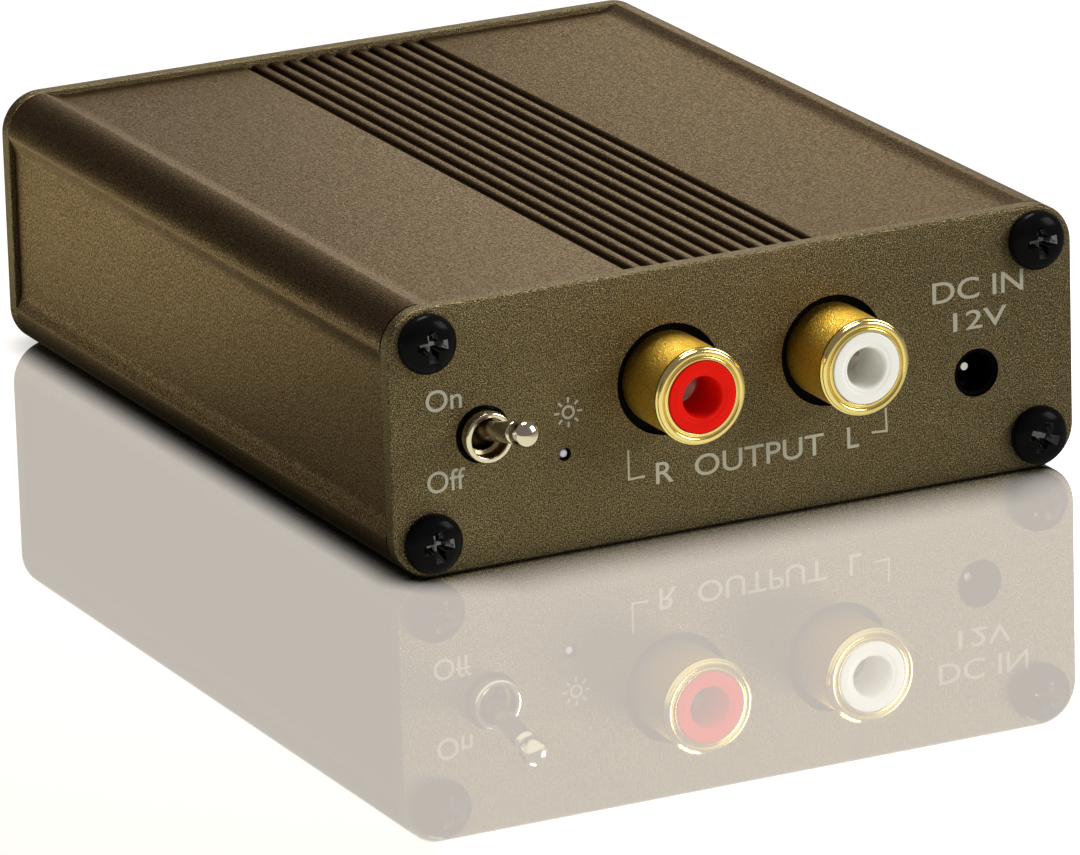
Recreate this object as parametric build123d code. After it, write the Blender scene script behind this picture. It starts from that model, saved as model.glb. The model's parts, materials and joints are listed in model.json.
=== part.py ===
from build123d import *
import os
from math import cos, radians, sin

# Phono preamp in a flat extruded aluminium case, in millimetres.
# World frame: X to the right along the front plate, Y into the depth, Z up, with the origin in the
# middle of the base. Most pieces are drawn in a plate's own frame: u to the right as one faces the
# plate, v up from the base, w outwards from the plate's outer face, so the inside has negative w.

# ---- Casing ----
WIDTH = 66.0
HEIGHT = 23.9
DEPTH = 81.9
CORNER_RADIUS = 3.7
PLATE_THICKNESS = 1.5
PLATE_EDGE_CHAMFER = 0.2
WALL = 1.5
FIELD_RECESS = 0.5  # the flat fields lie this far inside the corner crests
CREST_SLOPE = 1.1  # width of the slope between a crest and its field
CREST_ROUNDING = 0.8
GROOVE_COUNT = 11
GROOVE_PITCH = 1.72
GROOVE_WIDTH = 1.0
GROOVE_DEPTH = 0.8
GROOVE_CHAMFER = 0.22  # along the floor of each groove
RIB_CHAMFER = 0.22

# ---- Case screws, M3 pan head ----
SCREW_EDGE_X = 3.6  # from the plate's side edge to the screw's axis
SCREW_EDGE_Z = 3.08
SCREW_LENGTH = 8.0
SCREW_HEAD_RADIUS = 2.65
SCREW_HEAD_HEIGHT = 1.55
SCREW_HEAD_RIM = 0.55  # height of the head's side
SCREW_CROWN_RADIUS = 1.7  # where the steep part of the crown ends
SCREW_CROWN_HEIGHT = 1.35
PILOT_RADIUS = 1.25
SCREW_THREAD_GAP = 0.05
SCREW_HOLE_RADIUS = 1.6
BOSS_RADIUS = 2.3

# ---- Circuit board and its rails ----
BOARD_THICKNESS = 1.6
BOARD_BOTTOM = 5.5
BOARD_SIDE_GAP = 0.2
BOARD_END_GAP = 0.3
BOARD_RAIL_GAP = 0.15
RAIL_REACH = 1.4
RAIL_HEIGHT = 1.0
TAIL_BELOW_BOARD = 1.2
TAIL_WIDTH = 0.8
TAIL_THICKNESS = 0.4

# ---- Phono sockets ----
SOCKETS_MIDDLE_X = 1.42
SOCKET_PITCH = 15.84
SOCKET_HEIGHT = 13.96
SHELL_RADIUS = 4.3
SHELL_SEAT_RADIUS = 4.1  # where the shell sits inside its block
SHELL_BORE = 3.35
SHELL_REACH = 6.2  # from the plate's outer face to the shell's lip
SHELL_INSIDE = 7.0
LIP_CHAMFER = 0.3
INSULATOR_PROUD = 0.08
PIN_HOLE_RADIUS = 1.8
CONTACT_WALL = 0.16
CONTACT_SETBACK = 4.5
CONTACT_DEPTH = 5.6
CONTACT_SLIT = 0.7
CONTACT_SLIT_LENGTH = 3.0
SOCKET_HOLE_RADIUS = 5.05
SPIGOT_GAP = 0.15
SPIGOT_SETBACK = 0.6
BLOCK_HALF_WIDTH = 5.2
BLOCK_DEPTH = 8.4
BLOCK_ABOVE_AXIS = 5.0
BLOCK_CHAMFER = 1.2

# ---- Power inlet for a 3.5 mm plug ----
JACK_EDGE_X = 9.57  # from the plate's side edge to the inlet's axis
JACK_HEIGHT = 9.66
JACK_HOLE_RADIUS = 2.26
JACK_COLLAR_GAP = 0.12
JACK_COLLAR_SETBACK = 0.3
JACK_BORE = 1.8
JACK_BORE_DEPTH = 9.5
JACK_HALF_WIDTH = 3.2
JACK_ABOVE_AXIS = 2.7
JACK_DEPTH = 11.0
JACK_PIN_RADIUS = 0.65
JACK_PIN_NOSE = 0.3
JACK_PIN_SETBACK = 2.2
JACK_SPRING_WIDTH = 1.6
JACK_SPRING_THICKNESS = 0.3
JACK_STRIP_REACH = 0.9  # from the body's back to where the pin's strip turns down

# ---- Indicator ----
LED_EDGE_X = 16.37
LED_HEIGHT = 8.87
LED_HOLE_RADIUS = 0.68
GUIDE_GAP = 0.1
GUIDE_SETBACK = 0.25
GUIDE_FLANGE_RADIUS = 1.3
GUIDE_FLANGE = 0.6
LED_RADIUS = 1.6
LED_NOSE = 0.8
LED_LENGTH = 4.6
LED_LEAD = 0.4
LED_LEAD_OFFSET = 1.27  # from the indicator's middle to each lead
LED_LEAD_RUN = 1.6

# ---- Power switch ----
SWITCH_EDGE_X = 8.7
SWITCH_LIFT = 0.35  # from the board's top to the switch's case
SWITCH_HOLE_RADIUS = 2.65
BUSHING_RADIUS = 2.25
BUSHING_REACH = 1.45
BUSHING_MOUTH = 1.76
BUSHING_RIM_CHAMFER = 0.15
PIVOT_DEPTH = 1.5  # from the plate's outer face in to the lever's axis
LEVER_SWING = 13.0  # each way from straight out, in degrees
LEVER_TIP_CENTRE = 9.8
LEVER_TIP_RADIUS = 1.2
LEVER_TIP_LENGTH = 2.3
LEVER_TIP_CHAMFER = 0.5
LEVER_NECK_RADIUS = 0.72
LEVER_NECK_LENGTH = 0.35
LEVER_NECK_STEP = 0.15
LEVER_ROOT_RADIUS = 0.8
LEVER_END_RADIUS = 0.98
LEVER_BALL_RADIUS = 1.4
LEVER_BALL_FLAT = 0.25  # half of the straight middle of the ball
LEVER_BALL_GAP = 0.06
LEVER_TAIL_RADIUS = 0.75
LEVER_TAIL = 2.9
PIVOT_PIN_RADIUS = 0.4
PIVOT_PIN_HALF_LENGTH = 2.1
PIVOT_PIN_GAP = 0.04
PLUNGER_STEM_RADIUS = 0.42
PLUNGER_GAP = 0.08
PLUNGER_HEAD_RADIUS = 0.6
PLUNGER_NOSE_RADIUS = 0.2
PLUNGER_STROKE = 0.3
PLUNGER_STEM = 1.6
FRAME_THICKNESS = 0.4
FRAME_ARM_THICKNESS = 0.3
FRAME_ARM = 5.0
CASE_HALF_WIDTH = 2.55
CASE_WALL = 0.5
CASE_DEPTH = 6.3
CASE_BACK = 0.7
ROCKER_SWING = 10.0
ROCKER_AXIS_DEPTH = 6.6
ROCKER_HALF_LENGTH = 2.7
ROCKER_HALF_WIDTH = 1.1
ROCKER_THICKNESS = 0.5
ROCKER_CHAMFER = 0.1
ROCKER_SADDLE_DEPTH = 0.1  # from the rocker's back face to its axis
ROCKER_NOSE_RADIUS = 0.3
ROCKER_NOSE_GAP = 0.05
ROCKER_PLUNGER_GAP = 0.1
TERMINAL_PITCH = 2.54
TERMINAL_PAD_GAP = 0.08
TERMINAL_FIRST_RUN = 1.0
TERMINAL_RUN_STEP = 1.3

# ---- Ground terminal on the rear plate, M4 ----
GROUND_EDGE_X = 11.0
STUD_RADIUS = 2.0
STUD_HOLE_GAP = 0.15
STUD_BEYOND_NUT = 0.8
STUD_TIP_CHAMFER = 0.4
HEX_ACROSS_FLATS = 7.0
STUD_HEAD = 2.2
LUG_RADIUS = 3.4
LUG_THICKNESS = 0.5
LUG_TONGUE_WIDTH = 2.6
LUG_BOARD_GAP = 0.1
LOCK_NUT_THICKNESS = 1.6
WASHER_RADIUS = 3.9
WASHER_THICKNESS = 0.6
THUMB_NUT_RADIUS = 4.3
THUMB_NUT_THICKNESS = 4.0
THUMB_NUT_GAP = 0.06
KNURL_COUNT = 24
KNURL_DEPTH = 0.35
KNURL_LENGTH = 2.8
COLLAR_RADIUS = 3.4

# ---- Electronics on the board; ROWS are distances from the board's middle towards the front ----
CHIP_BODY = (4.9, 3.9, 1.5)
CHIP_LEG_PITCH = 1.27
CHIP_LEG = (0.4, 1.0, 0.7)
STAGE_X = 7.0
STAGE_ROW = -1.0
REGULATOR_W = -21.5
REGULATOR_BODY = (6.6, 6.1, 2.3)
REGULATOR_TAB = (5.4, 3.4, 0.5)
REGULATOR_LEG = (0.8, 2.4, 0.6)
REGULATOR_LEG_PITCH = 4.58
RESERVOIR_RADIUS = 4.0
RESERVOIR_HEIGHT = 11.5
RESERVOIR_W = (-33.0, -43.0)
COUPLING_RADIUS = 2.5
COUPLING_HEIGHT = 7.0
COUPLING_ROWS = (17.0, -19.0)
FILM_SIZE = (7.2, 2.6, 6.5)
FILM_ROWS = (-9.0, -14.0)
RESISTOR_SIZE = (2.0, 1.25, 0.55)
RESISTOR_PITCH = 2.6
RESISTOR_COLUMNS = 4
RESISTOR_ROWS = (11.0, 5.0)
CERAMIC_SIZE = (2.0, 1.25, 0.9)
CERAMIC_ROWS = (-5.5, -24.5)
DIODE_SIZE = (4.3, 2.6, 2.0)
DIODE_SPACING = 7.2  # from the regulator's middle to the diode's
DIODE_W = -22.0

# ---- Worked out from the sizes above ----
MID_HEIGHT = HEIGHT / 2
TUBE_LENGTH = DEPTH - 2 * PLATE_THICKNESS
CAVITY_HALF_WIDTH = WIDTH / 2 - FIELD_RECESS - WALL
CAVITY_HALF_HEIGHT = MID_HEIGHT - FIELD_RECESS - WALL
SCREW_X = WIDTH / 2 - SCREW_EDGE_X
SCREW_Z = MID_HEIGHT - SCREW_EDGE_Z
BOARD_TOP = BOARD_BOTTOM + BOARD_THICKNESS
BOARD_NEAR_W = -PLATE_THICKNESS - BOARD_END_GAP
BOARD_FAR_W = -(DEPTH + BOARD_NEAR_W)
BOARD_MIDDLE_W = -DEPTH / 2
TAIL_BOTTOM = BOARD_BOTTOM - TAIL_BELOW_BOARD
OUTPUT_RIGHT_X = SOCKETS_MIDDLE_X - SOCKET_PITCH / 2
OUTPUT_LEFT_X = SOCKETS_MIDDLE_X + SOCKET_PITCH / 2
JACK_X = WIDTH / 2 - JACK_EDGE_X
LED_X = LED_EDGE_X - WIDTH / 2
SWITCH_X = SWITCH_EDGE_X - WIDTH / 2
CASE_HALF_HEIGHT = MID_HEIGHT - BOARD_TOP - SWITCH_LIFT
GROUND_X = WIDTH / 2 - GROUND_EDGE_X  # to the right as one faces the rear plate
REGULATOR_X = JACK_X
DIODE_X = REGULATOR_X - DIODE_SPACING

FRONT = Pos(0, -DEPTH / 2, 0) * Rot(90, 0, 0)
REAR = Pos(0, DEPTH / 2, 0) * Rot(0, 0, 180) * Rot(90, 0, 0)


def block(u_span, v_span, w_span):
    """A box between two values along each of the plate's directions."""
    size = [high - low for low, high in (u_span, v_span, w_span)]
    centre = [(high + low) / 2 for low, high in (u_span, v_span, w_span)]
    return Pos(*centre) * Box(*size)


def around(centre, half):
    return centre - half, centre + half


def rod(radius, w_from, w_to):
    """A round bar along w."""
    return Pos(0, 0, w_from) * Cylinder(radius, w_to - w_from, align=(Align.CENTER, Align.CENTER, Align.MIN))


def turned(points):
    """A turned piece about the w axis, from its outline's (radius, w) points."""
    outline = Polyline([(radius, 0, w) for radius, w in points], close=True)
    return revolve(make_face(outline), Axis.Z)


def at(u, v, shape):
    return Pos(u, v, 0) * shape


def group(solids):
    return Compound(children=[piece for shape in solids for piece in shape.solids()])


# ---- Casing ----
def field_cut(half_run, edge):
    """The shallow trapezoid that sets a flat field inside its two crests, drawn at the top edge."""
    return Polygon(
        (-half_run, edge + FIELD_RECESS),
        (-half_run, edge),
        (-half_run + CREST_SLOPE, edge - FIELD_RECESS),
        (half_run - CREST_SLOPE, edge - FIELD_RECESS),
        (half_run, edge),
        (half_run, edge + FIELD_RECESS),
    )


def housing_outline():
    """The tube's outside section about the case's middle."""
    outline = RectangleRounded(WIDTH, HEIGHT, CORNER_RADIUS)
    across = WIDTH / 2 - CORNER_RADIUS
    upright = MID_HEIGHT - CORNER_RADIUS
    outline -= field_cut(across, MID_HEIGHT)
    for turn in (90, -90):
        outline -= Rot(0, 0, turn) * field_cut(upright, WIDTH / 2)
    base_corners = outline.vertices().sort_by(Axis.Y)[:2]
    return fillet([corner for corner in outline.vertices() if corner not in base_corners], CREST_ROUNDING)


def groove_outline():
    """One groove of the ribbed band, its top level with the field and its floor corners chamfered."""
    half = GROOVE_WIDTH / 2
    top = MID_HEIGHT - FIELD_RECESS
    floor = top - GROOVE_DEPTH
    return Polygon(
        (-half - RIB_CHAMFER, top + FIELD_RECESS),
        (-half - RIB_CHAMFER, top),
        (-half, top - RIB_CHAMFER),
        (-half, floor + GROOVE_CHAMFER),
        (-half + GROOVE_CHAMFER, floor),
        (half - GROOVE_CHAMFER, floor),
        (half, floor + GROOVE_CHAMFER),
        (half, top - RIB_CHAMFER),
        (half + RIB_CHAMFER, top),
        (half + RIB_CHAMFER, top + FIELD_RECESS),
    )


def housing_section():
    """The tube's whole section: walls, ribs, screw bosses and board rails."""
    section = housing_outline()
    middle = (GROOVE_COUNT - 1) / 2
    for index in range(GROOVE_COUNT):
        section -= Pos((index - middle) * GROOVE_PITCH, 0) * groove_outline()
    cavity = Rectangle(2 * CAVITY_HALF_WIDTH, 2 * CAVITY_HALF_HEIGHT)
    rail_x = CAVITY_HALF_WIDTH - RAIL_REACH / 2
    lower_rail = BOARD_BOTTOM - RAIL_HEIGHT / 2 - MID_HEIGHT
    upper_rail = BOARD_TOP + BOARD_RAIL_GAP + RAIL_HEIGHT / 2 - MID_HEIGHT
    for side in (-1, 1):
        for level in (-1, 1):
            cavity -= Pos(side * SCREW_X, level * SCREW_Z) * Circle(BOSS_RADIUS)
        for height in (lower_rail, upper_rail):
            cavity -= Pos(side * rail_x, height) * Rectangle(RAIL_REACH, RAIL_HEIGHT)
    section -= cavity
    for spot in screw_spots():
        section -= Pos(*spot) * Circle(PILOT_RADIUS)
    return section


def screw_spots():
    """The four case screws about the middle of a plate."""
    return [(side * SCREW_X, level * SCREW_Z) for side in (-1, 1) for level in (-1, 1)]


def make_housing():
    tube = extrude(housing_section(), TUBE_LENGTH)
    return Pos(0, MID_HEIGHT, -PLATE_THICKNESS - TUBE_LENGTH) * tube


def make_plate(openings):
    """An end plate with (u, v, radius) openings and its four screw holes."""
    plate = Pos(0, MID_HEIGHT, -PLATE_THICKNESS) * extrude(
        RectangleRounded(WIDTH, HEIGHT, CORNER_RADIUS), PLATE_THICKNESS
    )
    plate = chamfer(plate.faces().sort_by(Axis.Z)[-1].edges(), PLATE_EDGE_CHAMFER)
    holes = openings + [(u, MID_HEIGHT + v, SCREW_HOLE_RADIUS) for u, v in screw_spots()]
    for u, v, radius in holes:
        plate -= at(u, v, rod(radius, -2 * PLATE_THICKNESS, PLATE_THICKNESS))
    return plate


def make_case_screws():
    """Four pan head screws; their heads seat on the plate and their threads run in the bosses."""
    core = PILOT_RADIUS - SCREW_THREAD_GAP
    screw = turned(
        [
            (0, -SCREW_LENGTH),
            (core, -SCREW_LENGTH),
            (core, 0),
            (SCREW_HEAD_RADIUS, 0),
            (SCREW_HEAD_RADIUS, SCREW_HEAD_RIM),
            (SCREW_CROWN_RADIUS, SCREW_CROWN_HEIGHT),
            (0, SCREW_HEAD_HEIGHT),
        ]
    )
    return group([at(u, MID_HEIGHT + v, screw) for u, v in screw_spots()])


# ---- Phono socket ----
def socket_shell():
    """The plain round barrel with a chamfered lip, and its solder tab."""
    barrel = turned(
        [
            (SHELL_BORE, -SHELL_INSIDE),
            (SHELL_SEAT_RADIUS, -SHELL_INSIDE),
            (SHELL_SEAT_RADIUS, 0),
            (SHELL_RADIUS, 0),
            (SHELL_RADIUS, SHELL_REACH - LIP_CHAMFER),
            (SHELL_RADIUS - LIP_CHAMFER, SHELL_REACH),
            (SHELL_BORE, SHELL_REACH),
        ]
    )
    return barrel + shell_tab()


def shell_tab():
    """The tab that hangs from the shell's inner end through the block and the board."""
    wall_middle = (SHELL_SEAT_RADIUS + SHELL_BORE) / 2
    return block(
        around(0, TAIL_WIDTH / 2),
        (TAIL_BOTTOM - SOCKET_HEIGHT, -wall_middle),
        (-SHELL_INSIDE, -SHELL_INSIDE + TAIL_THICKNESS),
    )


def socket_insulator():
    """The coloured core that holds the centre contact in the middle of the shell."""
    face = SHELL_REACH + INSULATOR_PROUD
    return rod(SHELL_BORE, -SHELL_INSIDE, face) - rod(PIN_HOLE_RADIUS, -SHELL_INSIDE, face)


def contact_strip(front):
    """The flat strip that runs back from the contact through the block and down into the board."""
    back = -PLATE_THICKNESS - BLOCK_DEPTH
    run = block(around(0, TAIL_WIDTH / 2), around(0, TAIL_THICKNESS / 2), (back, front))
    drop = block(
        around(0, TAIL_WIDTH / 2),
        (TAIL_BOTTOM - SOCKET_HEIGHT, TAIL_THICKNESS / 2),
        (back - TAIL_THICKNESS, back),
    )
    return run + drop


def socket_contact():
    """The slit spring sleeve for the plug's pin, on its solder strip."""
    mouth = SHELL_REACH + INSULATOR_PROUD - CONTACT_SETBACK
    floor = mouth - CONTACT_DEPTH
    sleeve = rod(PIN_HOLE_RADIUS, floor, mouth)
    sleeve -= rod(PIN_HOLE_RADIUS - CONTACT_WALL, floor + CONTACT_WALL, mouth)
    sleeve -= block(
        around(0, CONTACT_SLIT / 2), around(0, PIN_HOLE_RADIUS), (mouth - CONTACT_SLIT_LENGTH, mouth)
    )
    return sleeve + contact_strip(floor)


def socket_block():
    """The black moulding behind the plate, with a spigot that fills the plate's hole."""
    back = -PLATE_THICKNESS - BLOCK_DEPTH
    moulding = block(
        around(0, BLOCK_HALF_WIDTH), (BOARD_TOP - SOCKET_HEIGHT, BLOCK_ABOVE_AXIS), (back, -PLATE_THICKNESS)
    )
    upper_edges = moulding.edges().filter_by(Axis.Z).sort_by(Axis.Y)[-2:]
    moulding = chamfer(upper_edges, BLOCK_CHAMFER)
    moulding += rod(SOCKET_HOLE_RADIUS - SPIGOT_GAP, -PLATE_THICKNESS, -SPIGOT_SETBACK)
    moulding -= rod(SHELL_SEAT_RADIUS, -SHELL_INSIDE, 0)
    return moulding - shell_tab() - contact_strip(0)


def save_sockets(place, name, centres):
    """One socket of four nodes for each channel in centres."""
    pieces = {
        "shell": socket_shell(),
        "insulator": socket_insulator(),
        "contact": socket_contact(),
        "block": socket_block(),
    }
    for channel, u in centres.items():
        for piece, shape in pieces.items():
            save(f"{name}_{channel}_{piece}", place * at(u, SOCKET_HEIGHT, shape))


# ---- Power inlet ----
def jack_back():
    return -PLATE_THICKNESS - JACK_DEPTH


def make_jack_body():
    body = block(
        around(0, JACK_HALF_WIDTH),
        (BOARD_TOP - JACK_HEIGHT, JACK_ABOVE_AXIS),
        (jack_back(), -PLATE_THICKNESS),
    )
    body += rod(JACK_HOLE_RADIUS - JACK_COLLAR_GAP, -PLATE_THICKNESS, -JACK_COLLAR_SETBACK)
    body -= rod(JACK_BORE, jack_floor(), 0)
    return body - jack_pin_strip() - jack_spring_strip()


def jack_floor():
    return -JACK_COLLAR_SETBACK - JACK_BORE_DEPTH


def jack_spring_strip():
    """The flat contact that lies in the floor of the bore and runs out at the back."""
    top = -JACK_BORE + JACK_SPRING_THICKNESS / 2
    return block(
        around(0, JACK_SPRING_WIDTH / 2),
        (top - JACK_SPRING_THICKNESS, top),
        (jack_back(), -2 * PLATE_THICKNESS),
    )


def make_jack_spring():
    drop = block(
        around(0, JACK_SPRING_WIDTH / 2),
        (TAIL_BOTTOM - JACK_HEIGHT, -JACK_BORE + JACK_SPRING_THICKNESS / 2),
        (jack_back() - JACK_SPRING_THICKNESS, jack_back()),
    )
    return jack_spring_strip() + drop


def jack_pin_strip():
    """The flat strip behind the centre pin, which runs out clear of the spring and down."""
    reach = jack_back() - JACK_STRIP_REACH
    run = block(around(0, TAIL_WIDTH / 2), around(0, TAIL_THICKNESS / 2), (reach, jack_floor()))
    drop = block(
        around(0, TAIL_WIDTH / 2),
        (TAIL_BOTTOM - JACK_HEIGHT, TAIL_THICKNESS / 2),
        (reach - TAIL_THICKNESS, reach),
    )
    return run + drop


def make_jack_pin():
    """The centre pin on its solder strip."""
    tip = -JACK_PIN_SETBACK
    pin = turned(
        [
            (0, jack_floor()),
            (JACK_PIN_RADIUS, jack_floor()),
            (JACK_PIN_RADIUS, tip - JACK_PIN_NOSE),
            (JACK_PIN_RADIUS - JACK_PIN_NOSE, tip),
            (0, tip),
        ]
    )
    return pin + jack_pin_strip()


# ---- Indicator ----
def make_light_guide():
    guide = rod(LED_HOLE_RADIUS - GUIDE_GAP, -PLATE_THICKNESS, -GUIDE_SETBACK)
    return guide + rod(GUIDE_FLANGE_RADIUS, -PLATE_THICKNESS - GUIDE_FLANGE, -PLATE_THICKNESS)


def make_led():
    """A 3 mm indicator lying down with its nose against the light guide and its leads bent down."""
    nose = -PLATE_THICKNESS - GUIDE_FLANGE
    back = nose - LED_LENGTH
    lamp = turned(
        [
            (0, back),
            (LED_RADIUS, back),
            (LED_RADIUS, nose - LED_NOSE),
            (LED_RADIUS - LED_NOSE, nose),
            (0, nose),
        ]
    )
    half = LED_LEAD / 2
    run = back - LED_LEAD_RUN
    for side in (-1, 1):
        u = side * LED_LEAD_OFFSET
        lamp += block(around(u, half), around(0, half), (run, back))
        lamp += block(around(u, half), (TAIL_BOTTOM - LED_HEIGHT, half), (run - half, run + half))
    return lamp


# ---- Power switch, drawn about its own axis ----
def make_bushing():
    """The smooth barrel: a wide mouth for the lever's swing and a close bore for its ball."""
    socket = LEVER_BALL_RADIUS + LEVER_BALL_GAP
    mouth_floor = -PIVOT_DEPTH + LEVER_BALL_RADIUS
    barrel = turned(
        [
            (socket, bushing_back()),
            (BUSHING_RADIUS, bushing_back()),
            (BUSHING_RADIUS, BUSHING_REACH - BUSHING_RIM_CHAMFER),
            (BUSHING_RADIUS - BUSHING_RIM_CHAMFER, BUSHING_REACH),
            (BUSHING_MOUTH, BUSHING_REACH),
            (BUSHING_MOUTH, mouth_floor),
            (socket, mouth_floor),
        ]
    )
    return barrel - crossways(PIVOT_PIN_RADIUS, BUSHING_RADIUS)


def bushing_back():
    return -PIVOT_DEPTH - LEVER_BALL_RADIUS


def crossways(radius, half_length):
    """A round bar along u at the lever's axis."""
    return Pos(0, 0, -PIVOT_DEPTH) * Rot(0, 90, 0) * Cylinder(radius, 2 * half_length)


def make_lever():
    """Tip, neck, taper, ball and hollow tail turned along one line, swung up to its rest place."""
    tip_end = LEVER_TIP_CENTRE + LEVER_TIP_LENGTH / 2
    tip_start = LEVER_TIP_CENTRE - LEVER_TIP_LENGTH / 2
    shaft_end = tip_start - LEVER_NECK_LENGTH
    bore = PLUNGER_STEM_RADIUS + PLUNGER_GAP
    bore_floor = -LEVER_TAIL + PLUNGER_STEM + PIVOT_PIN_GAP
    lever = turned(
        [
            (0, bore_floor),
            (bore, bore_floor),
            (bore, -LEVER_TAIL),
            (LEVER_TAIL_RADIUS, -LEVER_TAIL),
            (LEVER_TAIL_RADIUS, -LEVER_BALL_RADIUS),
            (LEVER_BALL_RADIUS, -LEVER_BALL_FLAT),
            (LEVER_BALL_RADIUS, LEVER_BALL_FLAT),
            (LEVER_ROOT_RADIUS, LEVER_BALL_RADIUS),
            (LEVER_END_RADIUS, shaft_end),
            (LEVER_NECK_RADIUS, shaft_end + LEVER_NECK_STEP),
            (LEVER_NECK_RADIUS, tip_start),
            (LEVER_TIP_RADIUS, tip_start + LEVER_TIP_CHAMFER),
            (LEVER_TIP_RADIUS, tip_end - LEVER_TIP_CHAMFER),
            (LEVER_TIP_RADIUS - LEVER_TIP_CHAMFER, tip_end),
            (0, tip_end),
        ]
    )
    pin_hole = Rot(0, 90, 0) * Cylinder(PIVOT_PIN_RADIUS + PIVOT_PIN_GAP, 2 * LEVER_BALL_RADIUS)
    return at_lever(lever - pin_hole)


def at_lever(shape):
    return Pos(0, 0, -PIVOT_DEPTH) * Rot(-LEVER_SWING, 0, 0) * shape


def make_plunger():
    """The sprung plug in the lever's tail; its blunt nose slides along the rocker."""
    rocker_face = ROCKER_AXIS_DEPTH - ROCKER_THICKNESS - ROCKER_SADDLE_DEPTH
    nose = -(rocker_face - PIVOT_DEPTH - ROCKER_PLUNGER_GAP)
    head_top = -LEVER_TAIL - PLUNGER_STROKE
    plunger = turned(
        [
            (0, nose),
            (PLUNGER_NOSE_RADIUS, nose),
            (PLUNGER_HEAD_RADIUS, nose + PLUNGER_HEAD_RADIUS - PLUNGER_NOSE_RADIUS),
            (PLUNGER_HEAD_RADIUS, head_top),
            (PLUNGER_STEM_RADIUS, head_top),
            (PLUNGER_STEM_RADIUS, head_top + PLUNGER_STEM),
            (0, head_top + PLUNGER_STEM),
        ]
    )
    return at_lever(plunger)


def make_switch_frame():
    """The steel front with two arms that clasp the case and reach down into the board."""
    front = bushing_back()
    back = case_front()
    outer = CASE_HALF_WIDTH + FRAME_ARM_THICKNESS
    frame = block(around(0, outer), around(0, CASE_HALF_HEIGHT), (back, front))
    frame -= rod(LEVER_BALL_RADIUS + LEVER_BALL_GAP, back, front)
    for side in (-1, 1):
        arm = sorted((side * CASE_HALF_WIDTH, side * outer))
        frame += block(arm, around(0, CASE_HALF_HEIGHT), (back - FRAME_ARM, back))
        leg_w = back - FRAME_ARM + 2 * TAIL_WIDTH
        frame += block(arm, (TAIL_BOTTOM - MID_HEIGHT, 0), (leg_w - TAIL_WIDTH, leg_w))
    return frame


def case_front():
    return bushing_back() - FRAME_THICKNESS


def make_switch_case():
    """A cup that closes the mechanism in, with a slot at the back for each terminal."""
    front = case_front()
    case = block(around(0, CASE_HALF_WIDTH), around(0, CASE_HALF_HEIGHT), (front - CASE_DEPTH, front))
    case -= block(
        around(0, CASE_HALF_WIDTH - CASE_WALL),
        around(0, CASE_HALF_HEIGHT - CASE_WALL),
        (front - CASE_DEPTH + CASE_BACK, front),
    )
    for terminal in switch_terminals():
        case -= terminal
    return case


def terminal_post(level, front_w):
    """One terminal: a straight run back through the case, then down into the board."""
    reach = case_front() - CASE_DEPTH - TERMINAL_FIRST_RUN - TERMINAL_RUN_STEP * (level + 1)
    v = level * TERMINAL_PITCH
    run = block(around(0, TAIL_WIDTH / 2), around(v, TAIL_THICKNESS / 2), (reach, front_w))
    drop_top = v + TAIL_THICKNESS / 2
    drop = block(
        around(0, TAIL_WIDTH / 2), (TAIL_BOTTOM - MID_HEIGHT, drop_top), (reach - TAIL_THICKNESS, reach)
    )
    return run + drop


def switch_terminals():
    """Two contact posts and, between them, the post whose round nose carries the rocker."""
    dip = ROCKER_HALF_LENGTH * sin(radians(ROCKER_SWING)) - ROCKER_SADDLE_DEPTH * cos(radians(ROCKER_SWING))
    pad_w = -ROCKER_AXIS_DEPTH - dip - TERMINAL_PAD_GAP
    nose = Pos(0, 0, -ROCKER_AXIS_DEPTH) * Rot(0, 90, 0) * Cylinder(ROCKER_NOSE_RADIUS, TAIL_WIDTH)
    middle = terminal_post(0, -ROCKER_AXIS_DEPTH) + nose
    return [terminal_post(-1, pad_w), middle, terminal_post(1, pad_w)]


def make_rocker():
    """The see-saw contact, tilted to meet the lower terminal while the lever is up."""
    back = ROCKER_SADDLE_DEPTH
    bar = block(
        around(0, ROCKER_HALF_WIDTH), around(0, ROCKER_HALF_LENGTH), (back, back + ROCKER_THICKNESS)
    )
    bar = chamfer(bar.edges().filter_by(Axis.X), ROCKER_CHAMFER)
    bar -= Rot(0, 90, 0) * Cylinder(ROCKER_NOSE_RADIUS + ROCKER_NOSE_GAP, 2 * ROCKER_HALF_WIDTH)
    return Pos(0, 0, -ROCKER_AXIS_DEPTH) * Rot(ROCKER_SWING, 0, 0) * bar


def save_switch():
    nodes = {
        "switch_bushing": make_bushing(),
        "switch_pivot_pin": crossways(PIVOT_PIN_RADIUS, PIVOT_PIN_HALF_LENGTH),
        "switch_lever": make_lever(),
        "switch_plunger": make_plunger(),
        "switch_frame": make_switch_frame(),
        "switch_case": make_switch_case(),
        "switch_rocker": make_rocker(),
        "switch_terminals": group(switch_terminals()),
    }
    for node, shape in nodes.items():
        save(node, FRONT * at(SWITCH_X, MID_HEIGHT, shape))


# ---- Ground terminal, drawn about its own axis ----
def hexagon(w_from, w_to):
    outline = RegularPolygon(HEX_ACROSS_FLATS / 2, 6, major_radius=False, rotation=30)
    return Pos(0, 0, w_from) * extrude(outline, w_to - w_from)


def thumb_nut_span():
    start = LOCK_NUT_THICKNESS + WASHER_THICKNESS
    return start, start + THUMB_NUT_THICKNESS


def make_ground_stud():
    """The screw through the plate, with its hexagon head against the solder lug inside."""
    head = -PLATE_THICKNESS - LUG_THICKNESS
    shank = rod(STUD_RADIUS, head, thumb_nut_span()[1] + STUD_BEYOND_NUT)
    tip = shank.edges().filter_by(GeomType.CIRCLE).sort_by(Axis.Z)[-1]
    return chamfer(tip, STUD_TIP_CHAMFER) + hexagon(head - STUD_HEAD, head)


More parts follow.
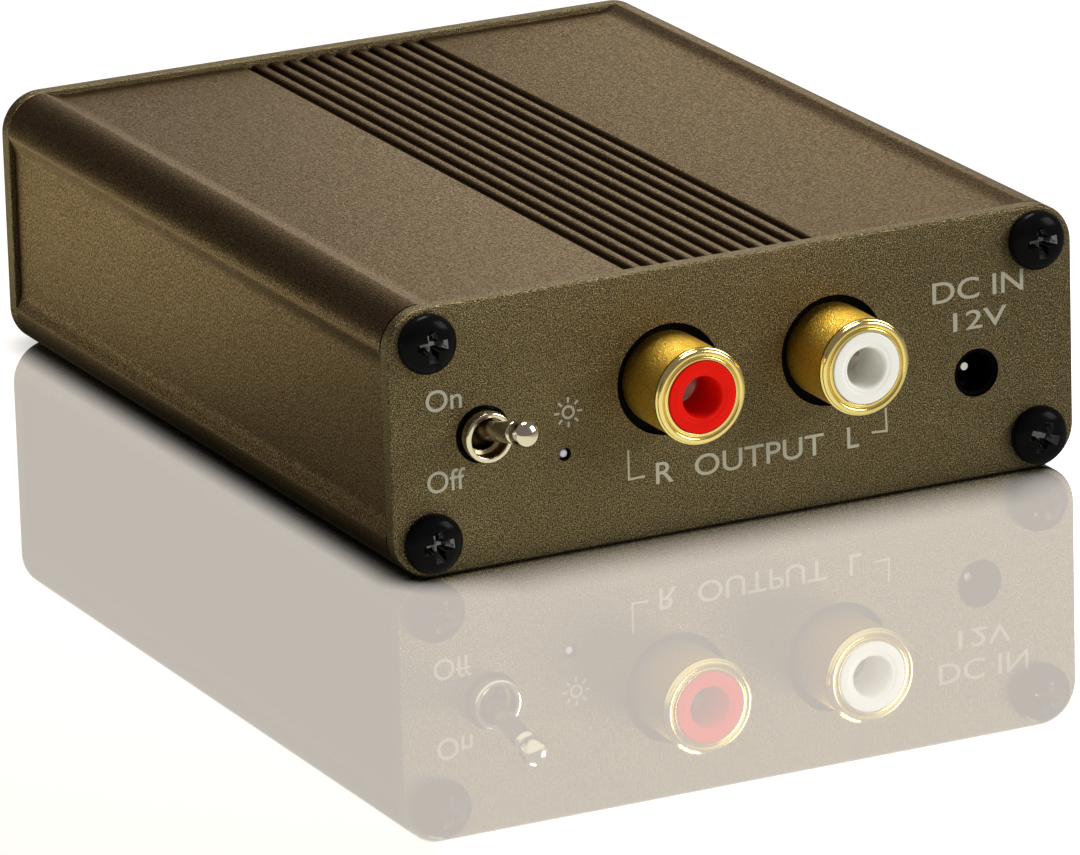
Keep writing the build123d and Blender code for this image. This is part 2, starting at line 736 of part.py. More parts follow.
def make_ground_lug():
    """The ring lug, whose tail hangs down into a notch in the board's edge."""
    return lug_tail(0) + rod(LUG_RADIUS, *lug_span()) - rod(STUD_RADIUS, *lug_span())


def lug_span():
    return -PLATE_THICKNESS - LUG_THICKNESS, -PLATE_THICKNESS


def lug_tail(gap):
    """The lug's tail, or with a gap the notch that takes it."""
    return block(
        around(0, LUG_TONGUE_WIDTH / 2 + gap),
        (TAIL_BOTTOM - MID_HEIGHT, 0),
        (lug_span()[0] - gap, lug_span()[1]),
    )


def make_thumb_nut():
    """A knurled head on a plain collar, bored to run on the stud."""
    low, high = thumb_nut_span()
    rim_start = high - KNURL_LENGTH
    step = 360 / KNURL_COUNT
    ridges = [
        Vector(radius, 0).rotate(Axis.Z, step * (index + shift))
        for index in range(KNURL_COUNT)
        for radius, shift in ((THUMB_NUT_RADIUS, 0), (THUMB_NUT_RADIUS - KNURL_DEPTH, 0.5))
    ]
    rim = extrude(make_face(Polyline(*ridges, close=True)), KNURL_LENGTH)
    nut = rod(COLLAR_RADIUS, low, rim_start) + Pos(0, 0, rim_start) * rim
    return nut - rod(STUD_RADIUS + THUMB_NUT_GAP, low, high)


def save_ground_terminal():
    hole = rod(STUD_RADIUS, 0, LOCK_NUT_THICKNESS)
    bore = rod(STUD_RADIUS + THUMB_NUT_GAP, LOCK_NUT_THICKNESS, thumb_nut_span()[0])
    nodes = {
        "ground_stud": make_ground_stud(),
        "ground_lug": make_ground_lug(),
        "ground_lock_nut": hexagon(0, LOCK_NUT_THICKNESS) - hole,
        "ground_washer": rod(WASHER_RADIUS, LOCK_NUT_THICKNESS, thumb_nut_span()[0]) - bore,
        "ground_thumb_nut": make_thumb_nut(),
    }
    for node, shape in nodes.items():
        save(node, REAR * at(GROUND_X, MID_HEIGHT, shape))


# ---- Electronics, standing on the board ----
def on_board(u, w, size):
    """A box of (width, depth, height) on the board's top."""
    width, depth, height = size
    return block(around(u, width / 2), (BOARD_TOP, BOARD_TOP + height), around(w, depth / 2))


def make_op_amp(u, w):
    """A small-outline chip with four legs along each side."""
    width, depth, height = CHIP_BODY
    leg_width, leg_run, leg_height = CHIP_LEG
    lift = leg_height / 3
    chip = Pos(0, lift, 0) * on_board(u, w, CHIP_BODY)
    for side in (-1, 1):
        for leg in range(4):
            leg_u = u + (leg - 1.5) * CHIP_LEG_PITCH
            leg_w = w + side * (depth / 2 + leg_run / 2)
            chip += on_board(leg_u, leg_w, (leg_width, leg_run, leg_height))
    return chip


def make_can(u, w, radius, height):
    """An upright electrolytic capacitor."""
    return Pos(u, BOARD_TOP, w) * Rot(-90, 0, 0) * rod(radius, 0, height)


def make_regulator():
    """A flat power package: moulded body, metal tab towards the rear and two legs in front."""
    depth = REGULATOR_BODY[1]
    tab_depth = REGULATOR_TAB[1]
    leg_depth = REGULATOR_LEG[1]
    package = on_board(REGULATOR_X, REGULATOR_W, REGULATOR_BODY)
    package += on_board(REGULATOR_X, REGULATOR_W - (depth + tab_depth) / 2, REGULATOR_TAB)
    for side in (-1, 1):
        leg_u = REGULATOR_X + side * REGULATOR_LEG_PITCH / 2
        package += on_board(leg_u, REGULATOR_W + (depth + leg_depth) / 2, REGULATOR_LEG)
    return package


def chip_rows(size, rows, columns):
    """Small blocks in straight rows on both sides of the board's middle."""
    return [
        on_board(side * (STAGE_X + (column - (columns - 1) / 2) * RESISTOR_PITCH), BOARD_MIDDLE_W + row, size)
        for row in rows
        for side in (-1, 1)
        for column in range(columns)
    ]


def save_electronics():
    sides = (-STAGE_X, STAGE_X)
    film = [on_board(u, BOARD_MIDDLE_W + row, FILM_SIZE) for u in sides for row in FILM_ROWS]
    coupling = [
        make_can(u, BOARD_MIDDLE_W + row, COUPLING_RADIUS, COUPLING_HEIGHT)
        for u in sides
        for row in COUPLING_ROWS
    ]
    nodes = {
        "op_amps": group([make_op_amp(u, BOARD_MIDDLE_W + STAGE_ROW) for u in sides]),
        "voltage_regulator": make_regulator(),
        "reservoir_capacitors": group(
            [make_can(REGULATOR_X, w, RESERVOIR_RADIUS, RESERVOIR_HEIGHT) for w in RESERVOIR_W]
        ),
        "coupling_capacitors": group(coupling),
        "equalisation_capacitors": group(film),
        "chip_resistors": group(chip_rows(RESISTOR_SIZE, RESISTOR_ROWS, RESISTOR_COLUMNS)),
        "chip_capacitors": group(chip_rows(CERAMIC_SIZE, CERAMIC_ROWS, RESISTOR_COLUMNS // 2)),
        "protection_diode": on_board(DIODE_X, DIODE_W, DIODE_SIZE),
    }
    for node, shape in nodes.items():
        save(node, FRONT * shape)


def make_board(tails):
    """The circuit board, slotted wherever a piece comes down through it."""
    board = block(
        around(0, CAVITY_HALF_WIDTH - BOARD_SIDE_GAP), (BOARD_BOTTOM, BOARD_TOP), (BOARD_FAR_W, BOARD_NEAR_W)
    )
    board = FRONT * board - REAR * at(GROUND_X, MID_HEIGHT, lug_tail(LUG_BOARD_GAP))
    for piece in tails:
        board -= piece
    return board


def save(node, shape):
    """Write one node; each of its solids carries its own place."""
    saved[node] = Compound(children=shape.solids())
    export_step(saved[node], f"parts/{node}.step")


SOLDERED_NODES = ("dc_jack_pin", "dc_jack_spring", "led", "switch_frame", "switch_terminals")

os.makedirs("parts", exist_ok=True)
saved = {}

output_centres = {"right": OUTPUT_RIGHT_X, "left": OUTPUT_LEFT_X}
input_centres = {"left": OUTPUT_RIGHT_X, "right": OUTPUT_LEFT_X}

save("housing", FRONT * make_housing())
socket_holes = [(u, SOCKET_HEIGHT, SOCKET_HOLE_RADIUS) for u in output_centres.values()]
front_openings = socket_holes + [
    (SWITCH_X, MID_HEIGHT, SWITCH_HOLE_RADIUS),
    (LED_X, LED_HEIGHT, LED_HOLE_RADIUS),
    (JACK_X, JACK_HEIGHT, JACK_HOLE_RADIUS),
]
rear_openings = socket_holes + [(GROUND_X, MID_HEIGHT, STUD_RADIUS + STUD_HOLE_GAP)]
save("front_plate", FRONT * make_plate(front_openings))
save("rear_plate", REAR * make_plate(rear_openings))
save("front_screws", FRONT * make_case_screws())
save("rear_screws", REAR * make_case_screws())
save_sockets(FRONT, "output", output_centres)
save_sockets(REAR, "input", input_centres)
save("dc_jack_body", FRONT * at(JACK_X, JACK_HEIGHT, make_jack_body()))
save("dc_jack_pin", FRONT * at(JACK_X, JACK_HEIGHT, make_jack_pin()))
save("dc_jack_spring", FRONT * at(JACK_X, JACK_HEIGHT, make_jack_spring()))
save("light_guide", FRONT * at(LED_X, LED_HEIGHT, make_light_guide()))
save("led", FRONT * at(LED_X, LED_HEIGHT, make_led()))
save_switch()
save_ground_terminal()
save_electronics()
through_board = [
    piece
    for node, piece in saved.items()
    if node.endswith(("_contact", "_shell")) or node in SOLDERED_NODES
]
save("circuit_board", make_board(through_board))
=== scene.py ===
import json
from math import cos, pi, radians, sin

import bmesh
import bpy
from mathutils import Matrix, Vector


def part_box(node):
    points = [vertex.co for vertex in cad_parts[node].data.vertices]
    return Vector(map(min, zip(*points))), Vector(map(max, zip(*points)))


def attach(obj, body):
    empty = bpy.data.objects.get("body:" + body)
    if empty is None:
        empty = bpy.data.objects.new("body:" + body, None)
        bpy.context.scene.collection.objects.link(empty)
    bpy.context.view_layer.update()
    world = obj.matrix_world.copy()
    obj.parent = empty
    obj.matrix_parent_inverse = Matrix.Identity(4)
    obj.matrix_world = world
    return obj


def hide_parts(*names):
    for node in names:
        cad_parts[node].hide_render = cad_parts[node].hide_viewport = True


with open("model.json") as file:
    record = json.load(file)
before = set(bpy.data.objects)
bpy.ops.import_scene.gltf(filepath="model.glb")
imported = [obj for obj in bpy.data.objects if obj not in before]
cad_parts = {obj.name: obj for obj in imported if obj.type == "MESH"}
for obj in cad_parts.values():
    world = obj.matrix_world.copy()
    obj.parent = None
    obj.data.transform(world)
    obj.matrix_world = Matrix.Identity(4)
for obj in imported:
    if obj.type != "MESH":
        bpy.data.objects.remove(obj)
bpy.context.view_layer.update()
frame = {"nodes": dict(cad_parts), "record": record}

# Sizes are in millimetres, as in the CAD source, and mm turns them into metres. Pieces on an end plate
# are drawn in that plate's own frame: u to the right as one faces the plate, v up from the base, and w
# outwards from the plate's outer face.
mm = 0.001

# ---- Camera and stage ----
CAMERA_AZIMUTH = -25.92
CAMERA_ELEVATION = 17.41
CAMERA_ROLL = 1.70
CAMERA_LENS = 320.97
CAMERA_DISTANCE = 830.66  # from the camera to the foot of the front plate, along the view
CAMERA_AIM_RIGHT = -17.26  # from the foot of the front plate to the view's middle
CAMERA_AIM_UP = 8.13
CAMERA_SIGHT = 10000.0  # how far the camera sees
STAGE_SIZE = 4000.0
STAGE_MIRROR = 0.5  # the mirror's share in what the camera sees of the table
STAGE_GLOSS = 0.02  # that mirror's roughness
STAGE_PALE = (1.03, 0.955, 0.865)

# The soft shade where the table and the case meet: how far it reaches, and how open to the sky a spot is
# that it leaves black. Both have a value in front of the case and one beside it.
STAGE_SHADE_AHEAD = 9.0
STAGE_SHADE_BESIDE = 2.8
STAGE_BLACK_AHEAD = 0.55
STAGE_BLACK_BESIDE = 0.35
STAGE_CLEAR = 0.98  # how open a spot without shade is
STAGE_SHADE_SAMPLES = 8

# What the object's metal mirrors of the table has tones along the case, as (share of the way from
# STAGE_NEAR to STAGE_FAR, brightness). It is weaker towards the right, and darker beside the case as a
# painted shadow of the case on the table.
STAGE_NEAR = -120.0
STAGE_FAR = 200.0
STAGE_TONES = (
    (0.0, 1.0),
    (0.23, 1.0),
    (0.275, 0.55),
    (0.39, 0.55),
    (0.5, 1.5),
    (0.62, 2.2),
    (0.67, 2.1),
    (0.78, 0.4),
)
STAGE_WARMTH = (1.0, 0.9)  # a tone's green and blue, as shares of its red
STAGE_SIDE_SHADE = 0.05  # strength right beside the case: a painted shadow of the case
STAGE_SIDE_REACH = 13.0  # from the case's side to where the strength is full
STAGE_DIM = 0.45  # strength at the dim end, to the right
STAGE_DIM_START = 0.0  # where the dimming starts and is full, from the case's middle
STAGE_DIM_END = 60.0

WALL_DIM = (0.21, 0.19, 0.205)
WALL_BRIGHT = (1.25, 1.23, 1.21)
WALL_RISE = 6.0  # height of the wall's brightest direction over the horizon, in degrees
WALL_FADE_START = 0.935  # cosines of the angle from that direction, where brightness starts and is full
WALL_FADE_END = 0.983

# A lamp's place as (azimuth, elevation, distance from the case), its size, and its power in watts.
KEY_LAMP = ((165.0, 78.0, 520.0), 220.0, 3.0)
FILL_LAMP = ((50.0, 25.0, 700.0), 300.0, 2.9)
REAR_LAMP = ((148.5, 20.6, 307.0), 80.0, 0.025)

# ---- Casing ----
CORNER_RADIUS = 3.7
CORNER_STEPS = 16
FIELD_RECESS = 0.5
CREST_SLOPE = 1.35  # length of the slope from a rounded corner down into a recessed field
CREST_REACH = 0.24  # reach of the rounding at the slope's top
FIELD_REACH = 0.6  # and at its foot
GROOVE_COUNT = 11
GROOVE_PITCH = 1.72
GROOVE_WIDTH = 0.72
GROOVE_DEPTH = 0.62
RIB_REACH = 0.34
WALL = 1.5
SEAM = 0.1  # between the tube's ends and the plates
PLATE_EDGE_RADIUS = 0.25
PLATE_BACK_EDGE = 0.6  # share of an edge's radius on the plate's inner side
HOLE_EDGE_RADIUS = 0.08
EDGE_STEPS = 5
HOLE_SEGMENTS = 64
SOCKET_HOLE_RADIUS = 5.05
SWITCH_HOLE_RADIUS = 2.65
LED_HOLE_RADIUS = 0.68
JACK_HOLE_RADIUS = 2.26
JACK_HOLE_HEIGHT = 9.66
STUD_HOLE_RADIUS = 2.15
SCREW_HOLE_RADIUS = 1.6

# ---- Case screws ----
SCREW_EDGE_X = 3.6
SCREW_EDGE_Z = 3.08
SCREW_LENGTH = 8.0
SCREW_CORE_RADIUS = 1.2
SCREW_POINT_REACH = 0.3
SCREW_HEAD_RADIUS = 2.65
SCREW_HEAD_HEIGHT = 1.55
SCREW_HEAD_RIM = 0.4
SCREW_CROWN_POWER = 0.75  # below 1, the crown is fuller than a ball's
SCREW_CROWN_STEPS = 14
SCREW_SEGMENTS = 64
RECESS_ARM = 1.5  # from the head's middle to the end of an arm at the top of the cross
RECESS_HALF_WIDTH = 0.46
RECESS_FLOOR = 0.25  # height of the cross's floor, where arm and width are these shares of the top's
RECESS_FLOOR_ARM = 0.45
RECESS_FLOOR_WIDTH = 0.5
RECESS_FLARE = 1.5  # and these are the shares where the cutter ends, above the head
RECESS_SOFTENING = 0.14
RECESS_SOFTENED_FROM = radians(38)  # edges sharper than this are softened
FRONT_SCREW_TURNS = (6, 3, -20, 5)  # the angle that each screw was stopped at
REAR_SCREW_TURNS = (25, -8, 40, 15)

# ---- Phono sockets ----
CHANNELS = ("right", "left")
SHELL_RADIUS = 4.3
SHELL_SEAT_RADIUS = 4.1
SHELL_BODY_RADIUS = 4.18  # of the satin barrel, inside the rim's bead
SHELL_BODY_FOOT = 0.1  # how deep behind the plate's face the barrel reaches that radius
SHELL_FOOT_REACH = 0.05
SHELL_BODY_END = 0.85  # from the barrel's end to the mouth
SHELL_BORE = 3.35
SHELL_REACH = 6.2
SHELL_INSIDE = 7.0
# The polished lip in steps of (radius, depth below the mouth, reach of the rounding). The radius of the
# outer steps goes inwards from the shell's radius, and that of the inner steps outwards from its bore.
LIP_OUTER = (
    (0.0, 0.66, 0.12),
    (0.0, 0.36, 0.12),
    (0.14, 0.3, 0.06),
    (0.2, 0.1, 0.12),
    (0.45, 0.0, 0.2),
)
LIP_INNER = (
    (0.3, 0.08, 0.1),
    (0.24, 0.25, 0.06),
    (0.16, 0.05, 0.08),
    (-0.1, 0.02, 0.06),
    (-0.12, 0.4, 0.0),
    (0.0, 0.5, 0.0),
)
INSULATOR_PROUD = 0.08
INSULATOR_GAP = 0.03
INSULATOR_NECK = 0.13  # how much slimmer the insulator is inside the lip
INSULATOR_NECK_START = 0.55  # depths below the mouth where it starts to narrow and has narrowed
INSULATOR_NECK_END = 0.45
INSULATOR_EDGE_REACH = 0.12
PIN_HOLE_RADIUS = 1.8
# The insulator's face around the pin's hole, in steps of (radius outwards from the hole's, depth, reach).
PIN_HOLE_RIM = (
    (0.55, 0.0, 0.2),
    (0.45, 0.05, 0.1),
    (0.14, 0.05, 0.08),
    (0.0, 0.25, 0.08),
)

# ---- Power switch ----
BUSHING_RADIUS = 2.25
BUSHING_REACH = 1.45
BUSHING_EDGE_REACH = 0.28
BUSHING_MOUTH = 1.76
BUSHING_MOUTH_REACH = 0.12
BUSHING_BRIGHT = 0.25  # how deep the plating is bright inside the mouth; deeper in, it is dull and painted darker as shade
BUSHING_BORE = 1.46
BUSHING_TAPER = 0.1  # the mouth narrows to the bore within this distance of the plate's face
BUSHING_BACK = 2.9
PIVOT_DEPTH = 1.5
LEVER_SWING = 13.0
LEVER_END = 10.95
LEVER_TIP_RADIUS = 1.2
LEVER_TIP_START = 8.95
LEVER_TIP_REACH = 0.4
LEVER_ROUND_START = 1.0  # from the lever's end to where its tip starts to round
LEVER_ROUND_REACH = 0.6
LEVER_CROWN_START = 0.2  # and to where its shallow crown starts, at this share of the tip's radius
LEVER_CROWN = 0.8
LEVER_CROWN_REACH = 0.5
LEVER_NECK_RADIUS = 0.72
LEVER_NECK_START = 8.35
LEVER_NECK_END = 8.65
LEVER_STEM_FOOT = 0.8  # radius of the stem at the ball
LEVER_STEM_RADIUS = 0.98  # and at its end
LEVER_STEM_REACH = 0.25
LEVER_STEM_END = 8.15
LEVER_DULL_SHADED_TO = 8.0  # the lever's stem is dull, and painted darker as shade, up to here; the tip is bright
LEVER_DULL_SHADED_RADIUS = 0.975
LEVER_BALL_RADIUS = 1.4
LEVER_BALL_HALF_LENGTH = 0.5  # of the straight part around the pivot
LEVER_BALL_REACH = 0.6
LEVER_WAIST_REACH = 0.3
LEVER_TAIL = 2.88  # a hair shorter than the solid's, which the plunger's head touches when pushed in
LEVER_TAIL_RADIUS = 0.75
LEVER_TAIL_REACH = 0.2
LEVER_BORE = 0.5  # the tail's hole, which the plunger slides in
LEVER_BORE_DEPTH = 1.65

# ---- Indicator ----
GUIDE_RADIUS = 0.58
GUIDE_NOSE_RADIUS = 0.42
GUIDE_NOSE_FLAT = 0.8  # share of the nose's radius at its very end
GUIDE_SETBACK = 0.25
GUIDE_TAPER_START = 0.6  # depths behind the nose's end where the rod starts to narrow and has narrowed
GUIDE_TAPER_END = 0.3
GUIDE_FLANGE_RADIUS = 1.3
GUIDE_FLANGE = 0.6
GUIDE_SEGMENTS = 48

# ---- Ground terminal ----
STUD_RADIUS = 2.0
THREAD_GAP = 0.06
LOCK_NUT_THICKNESS = 1.6
WASHER_THICKNESS = 0.6
THUMB_NUT_RADIUS = 4.3
THUMB_NUT_THICKNESS = 4.0
THUMB_NUT_BACK_REACH = 0.35
THUMB_NUT_FRONT_REACH = 0.4
THUMB_NUT_MOUTH = 0.5  # from the stud to the countersink's edge
THUMB_NUT_SINK = 0.4  # the countersink's depth
KNURL_COUNT = 36
KNURL_DEPTH = 0.3
KNURL_LENGTH = 2.8
KNURL_BAND = 0.15  # the knurl covers what comes this close to the nut's radius
KNURL_STEPS = 6  # points along the rim for each tooth
COLLAR_RADIUS = 3.4
COLLAR_REACH = 0.15
COLLAR_ROOT_REACH = 0.05

# ---- Printing ----
INK_HEIGHT = 0.012
CAP_HEIGHT = 1.9
SMALL_CAP_HEIGHT = 1.7
STROKE = 0.2
LETTER_CURVE_STEPS = 6
LETTER_BOLDER = 0.005  # added on each side of a letter's strokes, as a share of the type size
LETTER_WELD = 1e-5
# Each word as (name, text, left and right end, baseline, cap height), on the front plate.
WORDS = (
    ("print_on", "On", -29.6, -26.2, 14.65, CAP_HEIGHT),
    ("print_off", "Off", -29.7, -26.1, 7.45, CAP_HEIGHT),
    ("print_right", "R", -8.0, -6.3, 4.75, CAP_HEIGHT),
    ("print_output", "OUTPUT", -4.25, 8.3, 4.8, CAP_HEIGHT),
    ("print_left", "L", 10.6, 11.75, 4.85, CAP_HEIGHT),
    ("print_power", "DC IN", 19.2, 28.2, 16.5, CAP_HEIGHT),
    ("print_volts", "12V", 21.2, 26.5, 13.7, SMALL_CAP_HEIGHT),
)
BRACKETS = (
    ((-10.6, 8.25), (-10.6, 5.6), (-9.06, 5.65)),
    ((14.42, 7.92), (14.49, 5.84), (13.0, 5.92)),
)
LAMP_ICON = (-16.2, 12.57)
LAMP_RING = (0.4, 0.62)  # radii of the icon's ring, and where its rays start and end
LAMP_RAY = (0.85, 1.33)
LAMP_RAYS = 8
LAMP_SEGMENTS = 32

# ---- Finishes ----
MIDDLE = (0.3, 0.7)  # the range that holds most of a noise's values
LANDS = (0.45, 0.7)  # what a blasted surface's noise is on its high spots, and how much these are painted lighter as sparkle, a painted glint
LAND_SPARKLE = 0.8
PITS = (0.28, 0.48)  # what it is from a pit's floor to its rim
PIT_SHADE = 0.6  # how far a pit's floor is painted towards the pit's dark, as painted shade
PIT_SHADE_DARKNESS = 0.35
GLANCE = (0.35, 0.65)  # the range over which the tint at a glancing view grows from its low share to full
GLANCE_LOW = 0.8
GLOSS_DRIFT = 0.06  # how much rougher the pits are, and how much glossier the lands
MIX_FACTOR, MIX_FIRST, MIX_SECOND = 0, 6, 7  # a Mix node's sockets when it mixes colours
MIX_RESULT = 2

# ---- Meshes in general ----
SOFT = 0.1  # reach of an ordinary small rounding
SEGMENTS = 96
ROUNDING_STEPS = 4
SHARP_ANGLE = radians(32)
FLAT_ENOUGH = 1e-6


# ---- Places ----
def panel(node, facing):
    """The frame of an end plate; facing is -1 at the front and 1 at the rear."""
    low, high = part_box(node)
    outer = low.y if facing < 0 else high.y
    across = Vector((-facing, 0, 0))
    up = Vector((0, 0, 1))
    out = Vector((0, facing, 0))
    matrix = Matrix((across, up, out)).transposed().to_4x4()
    matrix.translation = Vector((0, outer, 0))
    return matrix


def on_panel(place, u, v, tilt=0.0, depth=0.0):
    """A place on a plate, tilted up by an angle about a line that lies depth inside the plate."""
    return place @ Matrix.Translation(Vector((u, v, -depth)) * mm) @ Matrix.Rotation(-radians(tilt), 4, "X")


def centre(node):
    """The middle of a node's box, in millimetres."""
    low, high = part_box(node)
    return (low + high) / 2 / mm


FRONT = panel("front_plate", -1)
REAR = panel("rear_plate", 1)
plate_low, plate_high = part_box("front_plate")
WIDTH = (plate_high.x - plate_low.x) / mm
HEIGHT = (plate_high.z - plate_low.z) / mm
PLATE_THICKNESS = (plate_high.y - plate_low.y) / mm
MID_HEIGHT = HEIGHT / 2


# ---- Meshes ----
def eased(points, closed=False):
    """Rounds the corners of an outline whose points are (a, b) or (a, b, reach of the rounding)."""
    result = []
    count = len(points)
    for index, point in enumerate(points):
        corner = Vector(point[:2])
        reach = point[2] if len(point) > 2 else 0.0
        ends = not closed and index in (0, count - 1)
        if reach == 0.0 or ends:
            result.append(corner)
            continue
        before = Vector(points[index - 1][:2]) - corner
        after = Vector(points[(index + 1) % count][:2]) - corner
        start = corner + before.normalized() * min(reach, before.length / 2)
        finish = corner + after.normalized() * min(reach, after.length / 2)
        for step in range(ROUNDING_STEPS + 1):
            t = step / ROUNDING_STEPS
            result.append(start * (1 - t) ** 2 + corner * 2 * t * (1 - t) + finish * t**2)
    return result


def stitch(bm, rings, closed=True, material=0):
    """Joins neighbouring rings of vertices with faces."""
    for first, second in zip(rings, rings[1:]):
        count = max(len(first), len(second))
        for index in range(count if closed else count - 1):
            corners = []
            for ring, shift in ((first, 0), (first, 1), (second, 1), (second, 0)):
                vertex = ring[(index + shift) % len(ring)]
                if vertex not in corners:
                    corners.append(vertex)
            bm.faces.new(corners).material_index = material


def ring_of(bm, radius, height, segments=SEGMENTS, wobble=None):
    """A ring of vertices about the local w axis. wobble gives what an angle adds to its radius."""
    if radius == 0.0:
        return [bm.verts.new((0, 0, height))]
    vertices = []
    for index in range(segments):
        angle = 2 * pi * index / segments
        at = radius + (wobble(angle) if wobble else 0.0)
        vertices.append(bm.verts.new((at * cos(angle), at * sin(angle), height)))
    return vertices


def lathe(bm, profile, material=0, segments=SEGMENTS):
    """Turns an outline of (radius, height, reach) points about the local w axis."""
    rings = [ring_of(bm, point.x, point.y, segments) for point in eased(profile)]
    stitch(bm, rings, material=material)


def mesh_from(name, bm):
    """Turns a drawing into a mesh and lets go of the drawing."""
    bmesh.ops.recalc_face_normals(bm, faces=bm.faces)
    mesh = bpy.data.meshes.new(name)
    bm.to_mesh(mesh)
    bm.free()
    return mesh


def piece(name, bm, place, materials, body, replaces=()):
    """Finishes a mesh drawn in millimetres: places it, shades it and hangs it on its body."""
    mesh = mesh_from(name, bm)
    mesh.transform(place @ Matrix.Scale(mm, 4))
    if place.to_3x3().determinant() < 0:
        mesh.flip_normals()
    mesh.shade_smooth()
    mesh.set_sharp_from_angle(angle=SHARP_ANGLE)
    for material in materials:
        mesh.materials.append(material)
    thing = bpy.data.objects.new(name, mesh)
    bpy.context.scene.collection.objects.link(thing)
    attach(thing, body)
    if replaces:
        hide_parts(*replaces)
    return thing


# ---- Materials ----
class Recipe:
    """A node material in the making. Most methods add a node and give its result."""

    def __init__(self, name):
        self.material = bpy.data.materials.new(name)
        self.material.use_nodes = True
        self.tree = self.material.node_tree
        self.surface = self.tree.nodes["Principled BSDF"]
        self.place = self.node("ShaderNodeTexCoord").outputs["Object"]

    def node(self, kind, inputs=None, **settings):
        made = self.tree.nodes.new(kind)
        for key, value in settings.items():
            setattr(made, key, value)
        for key, value in (inputs or {}).items():
            self.feed(made.inputs[key], value)
        return made

    def maths(self, operation, first, second=0.0):
        return self.node("ShaderNodeMath", {0: first, 1: second}, operation=operation).outputs[0]

    def mix_shaders(self, share, first, second):
        return self.node("ShaderNodeMixShader", {0: share, 1: first, 2: second}).outputs[0]

    def feed(self, socket, value):
        """Links another node's output to a socket, or sets a plain value on it."""
        if isinstance(value, bpy.types.NodeSocket):
            self.tree.links.new(value, socket)
        else:
            socket.default_value = value

    def noise(self, scale, detail=2.0, roughness=0.5):
        """Noise whose features are about 1 mm across at a scale of 1."""
        inputs = {"Vector": self.place, "Scale": scale / mm, "Detail": detail, "Roughness": roughness}
        return self.node("ShaderNodeTexNoise", inputs).outputs["Fac"]

    def between(self, value, low, high, out_low, out_high):
        """Maps a value's range onto another."""
        inputs = {0: value, 1: low, 2: high, 3: out_low, 4: out_high}
        return self.node("ShaderNodeMapRange", inputs).outputs[0]

    def blend(self, amount, first, second):
        """Mixes two colours, from all first at an amount of 0 to all second at 1."""
        inputs = {MIX_FACTOR: amount, MIX_FIRST: first, MIX_SECOND: second}
        return self.node("ShaderNodeMix", inputs, data_type="RGBA").outputs[MIX_RESULT]

    def bump(self, height, depth, strength=1.0, over=None):
        """A normal from a height between 0 and 1 that stands for depth in millimetres."""
        inputs = {"Height": height, "Distance": depth * mm, "Strength": strength}
        if over is not None:
            inputs["Normal"] = over
        return self.node("ShaderNodeBump", inputs).outputs[0]

    def finish(self, **inputs):
        """Feeds the surface's sockets; underscores in a name stand for spaces."""
        for key, value in inputs.items():
            self.feed(self.surface.inputs[key.replace("_", " ")], value)
        return self.material


def colour(red, green, blue):
    return (red, green, blue, 1.0)


def darker(tint, share):
    return colour(*(share * value for value in tint))


def blasted(name, dark, light, sparkle, grain_size, depth, rough, edge=(1.0, 1.0, 1.0)):
    """Anodising or plating over a blasted surface: small pits whose floors are painted darker as shade, and
    lands painted lighter as sparkle, a painted glint. The edge colour tints what the surface mirrors at a
    glancing view."""
    made = Recipe(name)
    cloud = made.noise(scale=0.06, detail=3.0)
    pits = made.noise(scale=1.0 / grain_size, detail=2.0, roughness=0.55)
    dust = made.noise(scale=0.4 / grain_size, detail=2.0, roughness=0.6)
    tint = made.blend(cloud, colour(*dark), colour(*light))
    # Painted glints on the lands, then painted shade in the pits.
    tint = made.blend(made.between(pits, *LANDS, 0.0, LAND_SPARKLE), tint, colour(*sparkle))
    tint = made.blend(made.between(pits, *PITS, PIT_SHADE, 0.0), tint, darker(dark, PIT_SHADE_DARKNESS))
    height = made.bump(pits, depth, strength=0.8, over=made.bump(dust, depth, strength=0.4))
    glance = made.blend(made.between(pits, *GLANCE, 0.0, 1.0), darker(edge, GLANCE_LOW), colour(*edge))
    gloss = made.between(pits, *MIDDLE, rough + GLOSS_DRIFT, rough - GLOSS_DRIFT)
    return made.finish(Base_Color=tint, Metallic=1.0, Specular_Tint=glance, Normal=height, Roughness=gloss)


def metal(name, low, high, rough_low, rough_high, grain=6.0, depth=0.004):
    """Plated metal whose tint and gloss drift a little and whose grain shows only close up."""
    made = Recipe(name)
    drift = made.noise(scale=0.6, detail=3.0)
    fine = made.noise(grain, detail=3.0, roughness=0.65)
    tint = made.blend(drift, colour(*low), colour(*high))
    rough = made.between(fine, *MIDDLE, rough_low, rough_high)
    height = made.bump(fine, depth, strength=0.5)
    return made.finish(Base_Color=tint, Metallic=1.0, Roughness=rough, Normal=height)


def plastic(name, low, high, rough_low, rough_high, grain=5.0, depth=0.006, shine=0.5):
    """Moulded plastic with a faint texture from its mould."""
    made = Recipe(name)
    drift = made.noise(scale=0.4, detail=2.0)
    fine = made.noise(grain, detail=3.0, roughness=0.6)
    tint = made.blend(drift, colour(*low), colour(*high))
    rough = made.between(fine, *MIDDLE, rough_low, rough_high)
    height = made.bump(fine, depth, strength=0.5)
    return made.finish(Base_Color=tint, Roughness=rough, Normal=height, Specular_IOR_Level=shine)


def clear(name):
    """Clear moulded plastic, milky enough to hide what is behind it."""
    made = Recipe(name)
    haze = made.noise(scale=2.0)
    tint = made.blend(haze, colour(0.78, 0.74, 1.0), colour(0.92, 0.89, 1.0))
    rough = made.between(haze, *MIDDLE, 0.12, 0.3)
    return made.finish(Base_Color=tint, Roughness=rough, Transmission_Weight=0.05, IOR=1.49)


